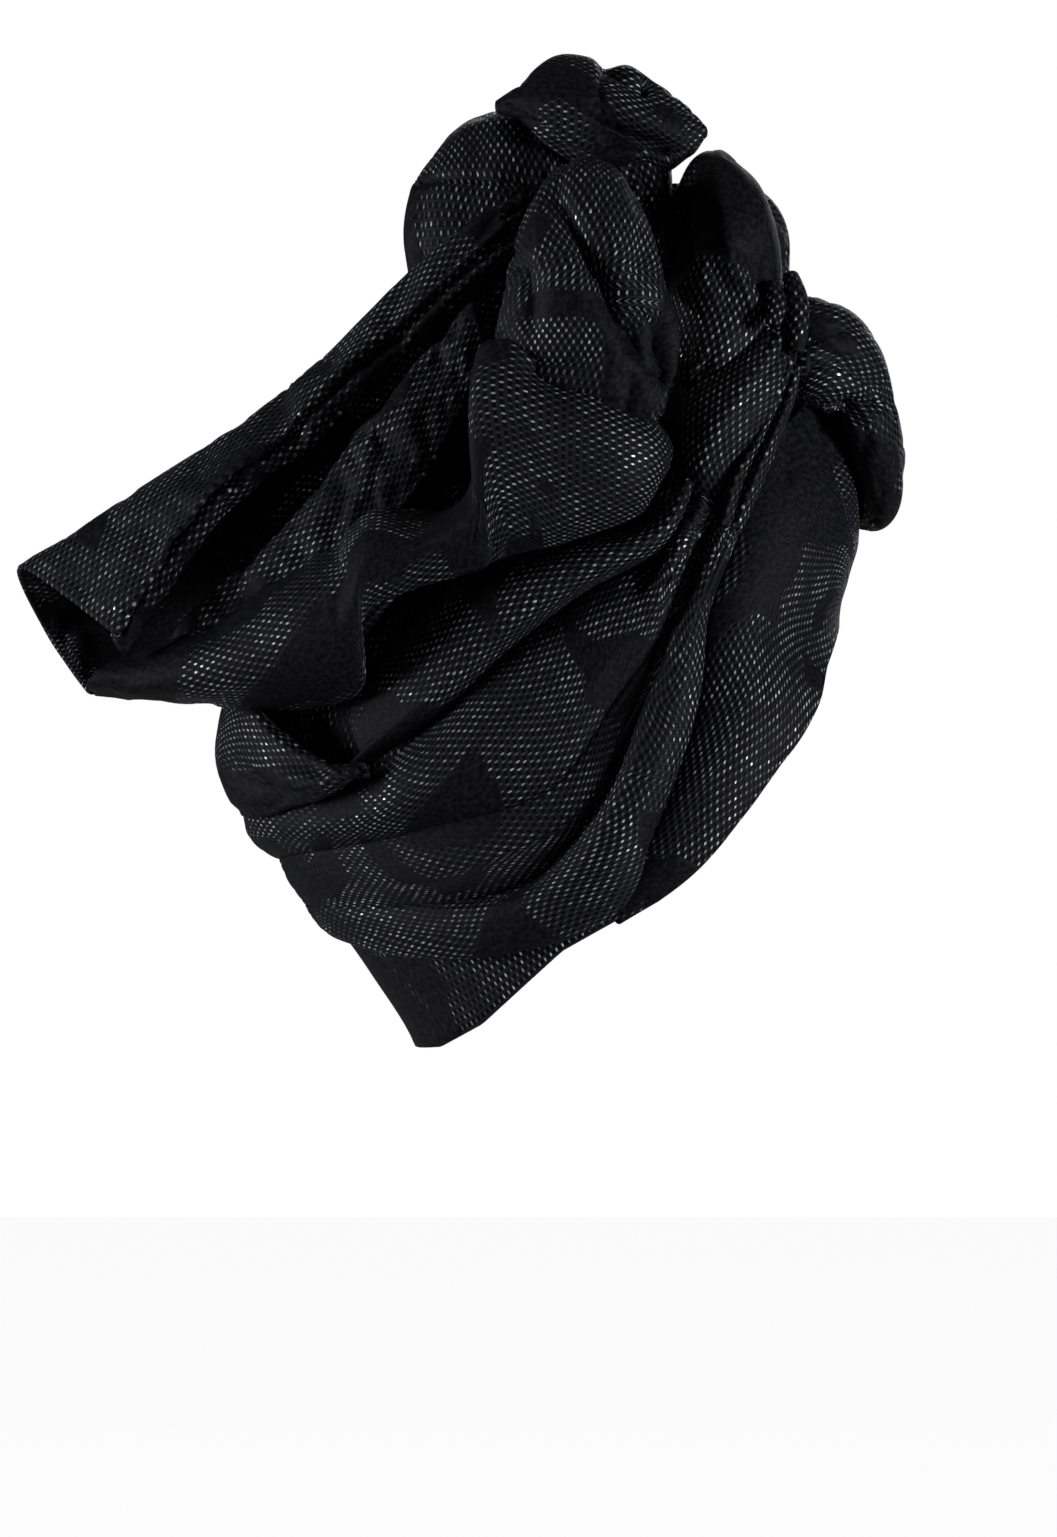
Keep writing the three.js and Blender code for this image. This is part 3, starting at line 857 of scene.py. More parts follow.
class Crease(NamedTuple):
    """A crease along a loop.

    Attributes:
        path: Rows of section number and place round the section, in degrees.
        depth: Depth at its deepest, in millimetres.
        spread: How far its sides reach round the section, in degrees.
    """

    path: tuple[tuple[float, float], ...]
    depth: float
    spread: float

    def dent(self, t: Array, turn: Array) -> Array:
        """Give the crease's depth over a band.

        Args:
            t: Section numbers along the band.
            turn: Places round the section, in degrees.

        Returns:
            Depth in millimetres, a row for each section number.
        """
        sections, turns = np.array(self.path, float).T
        place = np.interp(t, sections, turns)[:, None]
        away = np.clip(np.abs(turn[None] - place) / self.spread, 0, 1)
        progress = np.clip((t - sections[0]) / (sections[-1] - sections[0]), 0, 1)
        return self.depth * np.sqrt(np.abs(np.sin(np.pi * progress)))[:, None] * (1 - away) ** 2


@dataclass
class BowedLoop(ClothPiece):
    """A band of cloth that bows out from its spine.

    Attributes:
        rows: Sections along the spine.
        width_way: Direction of the band's width.
        arc: How far the section turns in on each side, in degrees.
        creases: Creases along the band.
    """

    rows: tuple[Spine, ...] = ()
    width_way: tuple[float, float, float] = (1.0, 0.0, 0.0)
    arc: tuple[float, float] = (-115.0, 115.0)
    creases: tuple[Crease, ...] = ()

    AHEAD: ClassVar[float] = 0.1  # Part of a row that the spine's run is measured over.

    def spine(self, t: Array) -> Array:
        """Give the sections at fractional rows."""
        return catmull(np.array(self.rows, float), np.clip(t, 0, len(self.rows) - 1))

    def surface(self) -> Array:
        """Give the bowed band with its creases.

        Returns:
            Grid of points, in millimetres.
        """
        t = np.linspace(0, len(self.rows) - 1, self.along + 1)
        section = self.spine(t)
        centre = section[:, :3]
        run = unit(self.spine(t + self.AHEAD)[:, :3] - self.spine(t - self.AHEAD)[:, :3])
        side = unit(np.array(self.width_way) - run * (run @ np.array(self.width_way))[:, None])
        out = np.cross(run, side)
        rows = np.array(self.rows, float)
        middle = (rows[:, :3].mean(axis=0) + np.array([FORM.centre_x, 0, rows[0, 2]])) / 2
        halfway = len(t) // 2
        if np.dot(out[halfway], centre[halfway] - middle) < 0:
            out = -out
        turn = np.linspace(self.arc[0], self.arc[1], self.across + 1)
        angle = np.radians(turn)
        dent = np.zeros((len(t), len(turn)))
        for crease in self.creases:
            dent += crease.dent(t, turn)
        sideways = section[:, 3:4] / 2 * np.sin(angle)
        outward = section[:, 4:5] * np.cos(angle) - dent
        return centre[:, None] + side[:, None] * sideways[..., None] + out[:, None] * outward[..., None]

    def inside(self, points: Array) -> Array:
        """Give the spine beside each point."""
        t = np.linspace(0, len(self.rows) - 1, len(points))
        return self.spine(t)[:, None, :3] + 0 * points


WELD = 1e-6  # Points of a swept wall that are closer than this, in metres, are one.


@dataclass
class BoundBand(BowedLoop):
    """A narrow rolled band bound round the gathers, swept along its path by geometry nodes.

    Attributes:
        steps: Sections along the path.
        sides: Cells round a section.
    """

    steps: int = 36
    sides: int = 32

    def mesh(self, points: Array, cloth: bpy.types.Material) -> bpy.types.Mesh:
        """Sweep the rolled wall and turn it into a plain mesh.

        Args:
            points: Middle surface of the band.
            cloth: Material of the band.

        Returns:
            The wall, with its material.
        """
        rows = np.array(self.rows, float)
        path = bpy.data.meshes.new(f"{self.name}_path")
        path.from_pydata((rows[:, :3] * MM).tolist(), [(k, k + 1) for k in range(len(rows) - 1)], [])
        half_width = path.attributes.new("half_width", "FLOAT", "POINT")
        half_width.data.foreach_set("value", ((rows[:, 3] - self.wall) / 2 * MM).astype(np.float32))
        guide = bpy.data.objects.new(path.name, path)
        bpy.context.collection.objects.link(guide)
        modifier = guide.modifiers.new("bound_band", "NODES")
        modifier.node_group = bpy.data.node_groups.get("bound_band") or band_tree()
        sizes = {
            "Steps": self.steps,
            "Sides": self.sides,
            "Flatness": float(2 * rows[:, 4].sum() / rows[:, 3].sum()),
            "Start": math.radians(self.arc[0] - 90),
            "Sweep": math.radians(self.arc[1] - self.arc[0]),
            "Wall": self.wall * MM,
            "Girth": float(np.linalg.norm(np.diff(points, axis=1), axis=-1).sum(axis=1).mean()) * MM,
            "Shift": (*self.shift, 0.0),
            "Material": cloth,
        }
        for item in modifier.node_group.interface.items_tree:
            if item.in_out == "INPUT" and item.name in sizes:
                modifier[item.identifier] = sizes[item.name]
        depsgraph = bpy.context.evaluated_depsgraph_get()
        swept = guide.evaluated_get(depsgraph)
        mesh = bpy.data.meshes.new_from_object(swept, preserve_all_data_layers=True, depsgraph=depsgraph)
        bpy.data.objects.remove(guide)
        mesh.name = self.name
        mesh.materials.pop(index=0)  # The swept wall comes with an empty first slot.
        return mesh


def band_tree() -> bpy.types.NodeTree:
    """Build the nodes that sweep a rolled wall of cloth along a path.

    Returns:
        The tree, with an input for each size.
    """
    tree = bpy.data.node_groups.new("bound_band", "GeometryNodeTree")
    inputs = {
        "Geometry": "Geometry", "Steps": "Int", "Sides": "Int", "Flatness": "Float", "Start": "Float",
        "Sweep": "Float", "Wall": "Float", "Girth": "Float", "Shift": "Vector", "Material": "Material",
    }
    for name, kind in inputs.items():
        tree.interface.new_socket(name, in_out="INPUT", socket_type=f"NodeSocket{kind}")
    tree.interface.new_socket("Geometry", in_out="OUTPUT", socket_type="NodeSocketGeometry")
    add = partial(node, tree)
    sizes = add("NodeGroupInput").node.outputs
    line = add("GeometryNodeMeshToCurve", {"Mesh": sizes["Geometry"]})
    line = add("GeometryNodeCurveSplineType", {"Curve": line}, spline_type="CATMULL_ROM")
    line = add("GeometryNodeResampleCurve", {"Curve": line, "Count": sizes["Steps"]})
    line = add("GeometryNodeSetCurveNormal", {"Curve": line}, mode="Z_UP")
    section = add("GeometryNodeCurveArc", {
        "Resolution": sizes["Sides"], "Radius": 1.0,
        "Start Angle": sizes["Start"], "Sweep Angle": sizes["Sweep"],
    })
    flat = add("ShaderNodeCombineXYZ", (1.0, sizes["Flatness"], 1.0))
    section = add("GeometryNodeTransform", {"Geometry": section, "Scale": flat})
    kept = []
    for curve, measure in ((line, "Length"), (section, "Factor")):
        keep = add("GeometryNodeCaptureAttribute", {"Geometry": curve}).node
        keep.capture_items.new("FLOAT", measure)
        tree.links.new(add("GeometryNodeSplineParameter", out=measure), keep.inputs[measure])
        kept += [keep.outputs["Geometry"], keep.outputs[measure]]
    rail, run, profile, turned = kept
    half = add("GeometryNodeInputNamedAttribute", {"Name": "half_width"}, data_type="FLOAT")
    sheet = add("GeometryNodeCurveToMesh", {"Curve": rail, "Profile Curve": profile, "Scale": half})
    thick = add("GeometryNodeExtrudeMesh", {
        "Mesh": sheet, "Offset Scale": sizes["Wall"], "Individual": False,
    })
    wall = add("GeometryNodeJoinGeometry", {"Geometry": thick})
    tree.links.new(add("GeometryNodeFlipFaces", {"Mesh": sheet}), wall.node.inputs["Geometry"])
    wall = add("GeometryNodeMergeByDistance", {"Geometry": wall, "Distance": WELD})
    girth = add(MATH, (turned, sizes["Girth"]), operation="MULTIPLY")
    place = add("ShaderNodeCombineXYZ", (run, girth))
    place = add(VECTOR, (place, sizes["Shift"]), operation="ADD")
    weave = {"Geometry": wall, "Name": "weave", "Value": place}
    wall = add("GeometryNodeStoreNamedAttribute", weave, data_type="FLOAT2", domain="CORNER")
    wall = add("GeometryNodeSetShadeSmooth", {"Geometry": wall})
    wall = add("GeometryNodeRealizeInstances", {"Geometry": wall})
    wall = add("GeometryNodeSetMaterial", {"Geometry": wall, "Material": sizes["Material"]})
    add("NodeGroupOutput", {"Geometry": wall})
    return tree


@dataclass
class CrownCloth(FoldedWrap):
    """The crown that the head goes into, wound in shallow slanting turns.

    Attributes:
        top: Height of its top.
        lift: Distance off the form.
        wind_depth: Depth of the turns of cloth, in millimetres.
        wind_turns: Turns of cloth up the crown.
        bare_from: Height that the turns show above.
    """

    top: float = 192.0
    lift: float = -1.0
    wind_depth: float = 3.0
    wind_turns: float = 6.0
    bare_from: float = 60.0

    ROWS: ClassVar[float] = 0.9  # Below one, rows lie closer toward the top.
    BROW_LIFT: ClassVar[float] = 1.5  # Half of the edge's height over the rim at the brow.
    CLOSE_FROM: ClassVar[float] = 0.93  # Share of the way up at which the top begins to close.
    CLOSING: ClassVar[tuple[float, float]] = (0.985, 1.2)  # How far it closes and how evenly.
    MIDDLE: ClassVar[tuple[float, float]] = (1.0, 3.0)  # Its middle, ahead of the form's and over the top.
    SLANT: ClassVar[float] = 0.9  # Turns by which the cloth is higher on one side.
    COME_IN: ClassVar[float] = 30.0  # Height over which the turns come in.
    ROUND: ClassVar[float] = 0.7  # Below one, the turns are round and the lines between them sharp.

    def surface(self) -> Array:
        """Give the crown from its edge up over its top.

        Returns:
            Grid of points, in millimetres.
        """
        turn = np.linspace(0.0, 2 * np.pi, self.across + 1)[None]
        low = FORM.rim_height(turn) + self.BROW_LIFT * (1 + np.cos(turn))
        share = np.linspace(0, 1, self.along + 1)[:, None] ** self.ROWS
        height = low + (self.top - low) * np.minimum(share / self.CLOSE_FROM, 1)
        close = np.clip((share - self.CLOSE_FROM) / (1 - self.CLOSE_FROM), 0, 1)
        rise = np.clip((height - low) / (self.top - low), 0, 1)
        slant = self.wind_turns * rise + self.SLANT * np.sin(turn)
        bare = np.clip((height - self.bare_from) / self.COME_IN, 0, 1) * (1 - close)
        inward = self.wind_depth * bare * (1 - np.abs(np.sin(np.pi * slant)) ** self.ROUND)
        points = FORM.on(turn + 0 * height, height, self.lift - inward)
        middle = np.array([FORM.centre_x + self.MIDDLE[0], 0.0, self.top + self.MIDDLE[1]])
        far, even = self.CLOSING
        return points + (middle - points) * (far * close**even)[..., None]


def build_pieces() -> list[ClothPiece]:
    """List the sheets of cloth in the order that they are laid.

    Returns:
        The sheets.
    """
    ridge, valley = Fold.RIDGE, Fold.VALLEY
    crown = CrownCloth(
        "crown", Held.STRETCHED, (), 110, 190, crumple=Crumple(0.25), margin=None, settling=None,
        shift=(1.64, 0.51),
    )
    brow = FoldedWrap(
        "brow_band", Held.STRETCHED, ("crown",), 200, 56, settling=None,
        shift=(1.56, 1.10),
        lines=(
            FoldLine("edge", valley, (
                (-3, -33.5, 3), (22, -17, 3.5), (40, 4, 4), (57, 27, 4), (69, 54, 4), (73.5, 72, 3.5),
                (BROW, 77, 3),
            )),
            FoldLine("face", ridge, (
                (-4, -32.5, 3), (14, -13, 6), (28, 14, 8), (43, 50, 8), (57, 90, 8), (68, 104, 6),
                (BROW, 106, 4),
            )),
            FoldLine("seam", valley, (
                (-5, -31.5, 3), (4, -13, 3), (13, 10, 3), (26, 47, 3), (36, 92, 3), (47, 131, 3),
                (BROW, 158, 3),
            )),
        ),
        around=True,
        strokes=(
            Stroke(((64, 150), (67, 142), (71, 128), (77, 112), (81, 100)), 2.6, 4.0),
            Stroke(((58, 146), (57, 132), (54, 116)), 1.6, 5.0),
        ),
    )
    sash = FoldedWrap(
        "sash", Held.DRAPED, ("crown", "brow_band"), 230, 90, settling=None,
        shift=(1.07, 0.78),
        pleats=(Pleating(15, 1.6, (0.6, 0.35, 0.12, 0.2, 0.12, 0.35, 0.6), seed=3),),
        strokes=(
            Stroke(((32, 119), (22, 104), (14, 88), (8, 74)), -4.0, 6.5),
            Stroke(((30, 114), (26, 100), (21, 84), (17, 70)), 4.5, 5.0),
            Stroke(((13, 100), (8, 90), (3, 79)), 6.0, 7.0),
            Stroke(((22, 92), (7, 50), (-9, 8), (-34, -20), (-62, -27)), 2.2, 4.5),
        ),
        lines=(
            FoldLine("upper_valley", valley, (
                (22, 117, 3), (14, 98, 3), (-13, 81, 3), (-41, 60, 3), (-65, 36, 3), (-97, 14, 3),
                (BACK, 12, 3),
            )),
            FoldLine("broad_fold", ridge, (
                (26, 118, 5), (15, 85, 10), (-6, 64, 12.5), (-34, 38, 15), (-72, 13, 17), (-104, 0, 14),
                (BACK, -3, 11.5),
            )),
            FoldLine("under_fold", valley, (
                (29, 119, 4), (14, 75, 6), (-2, 47, 7), (-28, 12, 6), (-72, -1, 5), (-100, -8, 4.5),
                (BACK, -12, 4.5),
            )),
            FoldLine("smooth_side", ridge, (
                (32, 120, 4), (14, 64, 7), (-2, 28, 8), (-22, 0, 8), (-62, -17, 6.5), (-92, -20, 5.6),
                (BACK, -20, 5.2),
            )),
            FoldLine("swag_valley", valley, (
                (35, 121, 3), (22, 92, 3), (7, 50, 3), (-9, 8, 3), (-34, -20, 3.5), (-76, -28, 4.6),
                (BACK, -28, 4.6),
            )),
            FoldLine("swag", ridge, (
                (39, 123, 8), (27, 83, 12.5), (13, 44, 14), (-3, 6, 15), (-25, -26, 13.5),
                (-66, -38, 8.5), (BACK, -33, 5.2),
            )),
            FoldLine("swag_edge", valley, (
                (44, 126, 6), (34, 92, 6), (25, 47, 6), (10, 1, 6), (-8, -33, 6), (-62, -46, 4),
                (BACK, -37, 3),
            )),
        ),
        around=True,
    )
    roll_lines = (
        FoldLine("upper_crease", valley, (
            (20, 119, 7), (5, 104, 5), (-24, 96, 4), (-51, 88, 3), (-72, 70, 3), (-93, 45, 3),
        )),
        FoldLine("roll", ridge, (
            (21, 118.5, 9), (12, 102, 16), (-20, 86, 19), (-48, 65, 19), (-69, 44, 17), (-92, 25, 10),
        )),
        FoldLine("lower_crease", valley, (
            (22, 118, 7), (14, 98.5, 6.5), (-13, 81.5, 6.5), (-41, 60.5, 6.5), (-65, 37, 6.5),
            (-97, 16, 6),
        )),
    )
    rolls = [
        FoldedWrap(
            name, Held.DRAPED, ("crown", "sash"), 100, 40, settling=None, shift=(1.94 + 0.2 * side, 0.55),
            lines=roll_lines, side=side,
        )
        for name, side in (("right_roll", 1), ("left_roll", -1))
    ]
    cowl = LinedCloth(
        "cowl", Held.FOLDED, ("sash",), 90, 40, settling=Settling(0.02), shift=(1.76, 1.20),
        core=(-100, -5, 25),
        sections=(
            ((-93, -73.5, 18.4), (-93.5, -74.5, 19.2), (-93.5, -74, 20)),
            ((-105, -62, 9), (-109, -68, 14), (-106, -66, 20)),
            ((-121, -46, 4), (-125, -52, 14), (-119, -54, 30)),
            ((-133, -22, 3), (-139, -28, 19), (-131, -40, 41)),
            ((-133, 6, 6), (-141, 2, 26), (-138, -10, 46)),
            ((-125, 31, 10), (-132, 34, 26), (-130, 32, 42)),
            ((-105, 52, 16), (-111, 58, 24), (-110, 56, 32)),
        ),
        last_edge=((2.5, 0, 0.5), (4, 0, -3)),
        strokes=(
            Stroke(((-136, 22), (-129, 15), (-120, 9), (-108, 11)), 6.0, 9.0, broad=1.4),
            Stroke(((-135, 43), (-127, 37), (-116, 27), (-107, 22), (-97, 17)), -2.0, 5.0),
        ),
    )
    long_sash = LinedCloth(
        "long_sash", Held.DRAPED, ("sash", "right_roll"), 170, 64, settling=Settling(0.015, 0.2),
        shift=(0.97, 0.98), core=(-50, -55, 105),
        sections=(
            ((9, -62, 141), (15, -68, 131), (14, -68, 124), (10, -66, 118)),
            ((3, -80, 147), (6, -94, 134), (5, -94, 119), (2, -84, 108)),
            ((-21, -91, 157.5), (-22, -102, 139), (-22, -99, 111), (-22, -87, 99)),
            ((-50, -90, 162.5), (-51, -99, 143), (-44, -100, 107), (-40, -88, 95)),
            ((-52, -66, 124), (-54, -94, 113), (-55, -98, 101), (-54, -89, 90)),
            ((-63, -71, 108), (-68, -91, 101), (-72, -93, 94), (-74, -86, 83)),
            ((-87, -72, 107), (-88, -88, 97), (-90, -90, 86), (-91, -82, 73)),
            ((-102, -66, 96), (-101, -83, 84), (-96, -86, 66), (-93, -74, 50)),
            ((-118, -60, 87), (-120, -76, 74), (-115, -78, 56), (-110, -58, 43)),
            ((-146, -50, 69), (-148, -62, 60), (-147, -62, 49), (-144, -42, 43)),
            ((-175, -37, 58), (-183, -40, 53), (-187, -37, 48.5), (-185, -26, 46.5)),
        ),
        first_edge=((1, 5, 0.5), (1, 10, -5), (1, 12, -14)),
        last_edge=((0, 5, -0.5), (0, 9, 5)),
        strokes=(
            Stroke(((-58, 114), (-46, 111), (-34, 111), (-22, 113)), 3.5, 9.0),
            Stroke(((-30, 157), (-14, 156), (2, 151), (12, 141)), 8.0, 10.0, broad=1.5),
            Stroke(((-40, 148), (-34, 132), (-26, 118)), 1.8, 10.0),
        ),
    )
    tail = LinedCloth(
        "tail", Held.GATHERED, ("long_sash",), 200, 112, settling=Settling(0.02), shift=(1.20, 0.89),
        core=(-120, -30, 100), margin=None,
        sections=(
            ((-179, -54, 68), (-211, -22, 90), (-203, 4, 68), (-188, -22, 47)),
            ((-149, -54, 113), (-166, -26, 119), (-160, 8, 88), (-157, -31, 50)),
            ((-114, -53, 144), (-119, -30, 150), (-114, 2, 112), (-118, -48, 53)),
            ((-83, -53, 173), (-88, -37, 178), (-84, -22, 146), (-98, -59, 65)),
            ((-52, -54, 201), (-55, -46, 207), (-54, -42, 184), (-62, -62, 112)),
            ((-37, -50, 211), (-36, -46, 217), (-36, -40, 198), (-46, -56, 128)),
        ),
        first_edge=((0.8, 3.4, -2.0), (2.6, 0.6, -5.4), (4.8, 1.4, -8.2), (6.0, 5.0, -8.8)),
        last_edge=((2, 4, 2),),
        pleats=(Pleating(7, 3.0, (0.0, 0.12, 0.4, 0.8, 1.0), seed=11),),
    )
    tail_fold = LinedCloth(
        "tail_fold", Held.FOLDED, ("tail", "long_sash"), 150, 60, settling=Settling(0.025),
        shift=(2.25, 1.85), core=(-110, -20, 60),
        margin=None,
        sections=(
            ((-158, -24, 58), (-160, -38, 62), (-156, -43, 57)),
            ((-146, -26, 72), (-146, -45, 79), (-140, -51, 69)),
            ((-116, -30, 100), (-115, -54, 106), (-103, -66, 93)),
            ((-90, -40, 132), (-88, -60, 139), (-76, -68, 112)),
            ((-60, -50, 168), (-54, -63, 180), (-49, -64, 162)),
        ),
    )
    return [crown, brow, sash, *rolls, cowl, long_sash, tail, tail_fold, *loop_pieces()]


def loop_pieces() -> list[ClothPiece]:
    """List the loops, the knot and the bindings.

    Returns:
        The sheets.
    """
    gathered = (1.0, 0.55, 0.3, 0.5, 1.0)
    centre = BowedLoop(
        "centre_loop", Held.DRAPED, ("long_sash",), 140, 84, settling=Settling(0.03), shift=(1.15, 1.89),
        margin=None,
        width_way=(1, 0, -0.36), arc=(-115, 115),
        rows=(
            Spine(-12, -64, 162, 44, 4),
            Spine(-14, -81, 152.5, 56, 13),
            Spine(-13.5, -80, 168, 61, 20),
            Spine(-14.5, -74, 185, 55, 25),
            Spine(-17, -61, 200, 41, 28.5),
            Spine(-19, -44, 207, 27, 24),
            Spine(-20, -28, 205, 20, 14),
        ),
        strokes=(
            Stroke((
                (-23, 215), (-15, 200), (-9, 190), (-5, 181), (1, 171), (8, 162), (14, 155),
            ), 12.0, 10.0),
            Stroke(((6, 175), (13, 166), (19, 154)), 13.0, 9.0, broad=1.8),
            Stroke(((-40, 163), (-26, 159), (-12, 161.5)), 2.5, 7.0),
            Stroke(((-36, 196), (-33, 182), (-34, 170)), 1.5, 9.0),
        ),
        pleats=(Pleating(6, 2.0, gathered, seed=21),),
    )
    crown_loop = BowedLoop(
        "crown_loop", Held.DRAPED, ("crown",), 120, 72, settling=Settling(0.025), shift=(1.25, 2.09),
        margin=None,
        width_way=(1, 0, -0.2), arc=(-112, 128),
        rows=(
            Spine(22, -60, 144, 5, 4),
            Spine(26, -56, 153, 15, 9),
            Spine(31.5, -50, 169, 28, 15),
            Spine(33.5, -40, 187, 36, 20),
            Spine(35, -28, 203, 31, 23),
            Spine(29.5, -14, 214, 27, 21),
            Spine(29, 0, 220, 8, 16),
        ),
        strokes=(
            Stroke(((10, 190), (13, 197), (14, 206), (13, 215)), 14.0, 11.0, broad=1.8),
            Stroke(((31, 228), (33, 212), (36, 196), (42, 182)), -2.0, 8.0),
            Stroke(((47, 204), (46, 190), (48, 180)), 2.0, 6.0),
        ),
        pleats=(Pleating(5, 1.6, gathered, seed=22),),
    )
    far_loop = BowedLoop(
        "far_loop", Held.DRAPED, ("crown",), 120, 72, shift=(0.39, 1.06), margin=None,
        width_way=(1, 0, 0.12), arc=(-122, 122),
        creases=(Crease(((0, 26), (5, 26)), 7, 28), Crease(((0, -30), (4, -30)), 6, 26)),
        rows=(
            Spine(34, 76, 111, 26, 6),
            Spine(32, 64, 140, 60, 17),
            Spine(28, 52, 170, 72, 26),
            Spine(26, 40, 191, 62, 27),
            Spine(27, 26, 207, 52, 19),
            Spine(12, 12, 213, 28, 11),
        ),
        strokes=(
            Stroke(((16, 207), (10, 176), (20, 132)), 4.0, 9.0, View.LEFT),
            Stroke(((42, 202), (47, 168), (40, 130)), 3.5, 8.0, View.LEFT),
        ),
        pleats=(Pleating(8, 3.0, gathered, seed=23),),
    )
    rear_loop = BowedLoop(
        "rear_loop", Held.DRAPED, ("crown",), 150, 72, shift=(2.40, 1.42), margin=None,
        width_way=(1, 0, 0.25), arc=(-126, 126), creases=(Crease(((4, -14), (8.6, -14)), 7, 28),),
        rows=(
            Spine(-48, -10, 190, 52, 18),
            Spine(-48, -9, 205, 56, 21),
            Spine(-44.5, -4, 217, 58, 23),
            Spine(-42, 8, 224, 55, 24),
            Spine(-43, 24, 219, 52, 26),
            Spine(-46, 38, 197, 54, 26),
            Spine(-46, 47, 168, 60, 24),
            Spine(-46, 55, 136, 56, 18),
            Spine(-45, 63, 112, 34, 11),
            Spine(-44, 66, 98, 16, 4),
        ),
        strokes=(
            Stroke(((-79, 223.5), (-64, 225.5), (-48, 225), (-28, 223.5)), 3.4, 4.5),
            Stroke(((-58, 208), (-61, 172), (-56, 128)), 4.0, 9.0, View.LEFT),
            Stroke(((-33, 216), (-31, 180), (-37, 134)), 3.5, 8.0, View.LEFT),
        ),
        pleats=(Pleating(7, 2.5, gathered, seed=24),),
    )
    top_knot = LinedCloth(
        "top_knot", Held.FOLDED, ("knot_neck",), 120, 110, settling=Settling(0.02, 0.3),
        shift=(1.51, 0.75), margin=None, core=(-6, -10, 246),
        sections=(
            ((-44.5, -9, 249), (-44.5, -13, 249), (-45, -15, 249.7), (-45, -15.5, 250.2),
             (-45, -15.5, 250.7), (-45, -13, 251.5), (-44.5, -9, 250.5), (-44, -7, 249.5)),
            ((-35, -8, 246), (-36, -18, 245.3), (-36, -23, 247), (-36, -25, 249.5), (-36.5, -24, 253),
             (-37, -14, 257.3), (-36, -2, 254), (-35, 0, 248)),
            ((-25, -6, 237.5), (-26, -20, 236.8), (-26, -28, 240.5), (-26, -31, 246), (-25.5, -29, 256),
             (-25, -13, 267), (-25, 2, 260), (-25, 7, 242)),
            ((-13, -5, 231), (-14, -20, 229.8), (-14, -30, 234), (-12.5, -31.5, 243), (-13, -31, 255),
             (-14, -14, 267), (-14, 5, 259), (-14, 9, 236)),
            ((-4, -4, 230), (-5, -19, 228.6), (-4, -31, 233), (-3, -28.5, 240.8), (-4, -31.5, 251.5),
             (-7.5, -15, 263.3), (-6, 4, 258), (-5, 9, 234)),
            ((5, -4, 230.5), (5.5, -18, 228.8), (6, -30, 232.8), (7, -26, 238), (5.5, -30, 247.5),
             (1.5, -15, 263.6), (3, 3, 258), (4, 8, 234)),
            ((13, -5, 230.5), (13, -16, 228.3), (14.5, -26, 232), (15, -23.5, 236.5), (14, -26, 244.5),
             (12.5, -14, 257), (12, 1, 252), (12, 5, 233)),
            ((20, -7, 234.5), (21.5, -13, 233.8), (22, -19, 235.8), (22, -19, 238.5), (21.5, -19.5, 243),
             (21, -13, 250.3), (20, -3, 247), (19, -2, 239)),
            ((26.5, -10, 240.5), (27, -12, 240), (27.6, -13.5, 240.6), (27.8, -14, 241.3), (27.8, -14, 242),
             (27.3, -12.5, 243), (26.7, -9.5, 242.5), (26.2, -8.5, 241.3)),
        ),
        strokes=(
            Stroke(((-13, 246), (-3, 241), (8, 237.2), (16, 236)), 4.5, 4.5),
            Stroke(((-7, 262), (1, 258.5), (6.5, 256)), 3.5, 3.5),
            Stroke(((4.5, 257), (8.5, 255)), 7.0, 4.0),
            Stroke(((-8, 264), (-9, 257), (-8, 250)), 2.0, 6.0),
            Stroke(((-42, 250.5), (-29, 242.5), (-19, 236), (-8, 232)), 2.2, 3.0),
            Stroke(((-30, 8), (-12, 2), (2, -4), (8, -10)), 4.0, 6.0, View.TOP),
            Stroke(((-34, 252), (-16, 250), (4, 247), (16, 243)), 5.0, 6.0, View.LEFT),
        ),
    )
    knot_neck = BowedLoop(
        "knot_neck", Held.GATHERED, ("crown",), 60, 72, settling=None, shift=(2.04, 1.82), margin=None,
        width_way=(1, 0, 0), arc=(-165, 165),
        rows=(
            Spine(1, -12, 232, 27, 14),
            Spine(4, -11, 222, 23, 18),
            Spine(3.5, -11, 213, 20, 18),
            Spine(1.5, -12, 206, 15, 14),
            Spine(1, -14, 197, 13, 10),
        ),
        pleats=(Pleating(9, 2.0, (0.5, 1.0, 1.0, 0.8, 0.6), seed=26),),
    )
    gather_band = LinedCloth(
        "gather_band", Held.GATHERED, ("long_sash",), 90, 60, settling=None, shift=(2.34, 0.64),
        margin=None, core=(30, -40, 140),
        sections=(
            ((53, -47, 178), (56, -52, 176), (58, -50, 173)),
            ((43, -57, 168), (49, -64, 164), (55, -59, 159)),
            ((32, -64, 157), (41, -73, 153), (51, -66, 147)),
            ((21, -69, 145), (32, -78, 139), (44, -71, 135)),
            ((15, -67, 133), (26, -76, 126), (37, -71, 123)),
            ((13, -61, 124), (25, -71, 115), (36, -68, 113)),
        ),
        first_edge=((-2, 4, 0),),
        last_edge=((1.5, 4, -1),),
        pleats=(Pleating(5, 1.8, (1.0, 0.8, 0.5, 0.3, 0.3), seed=27),),
    )
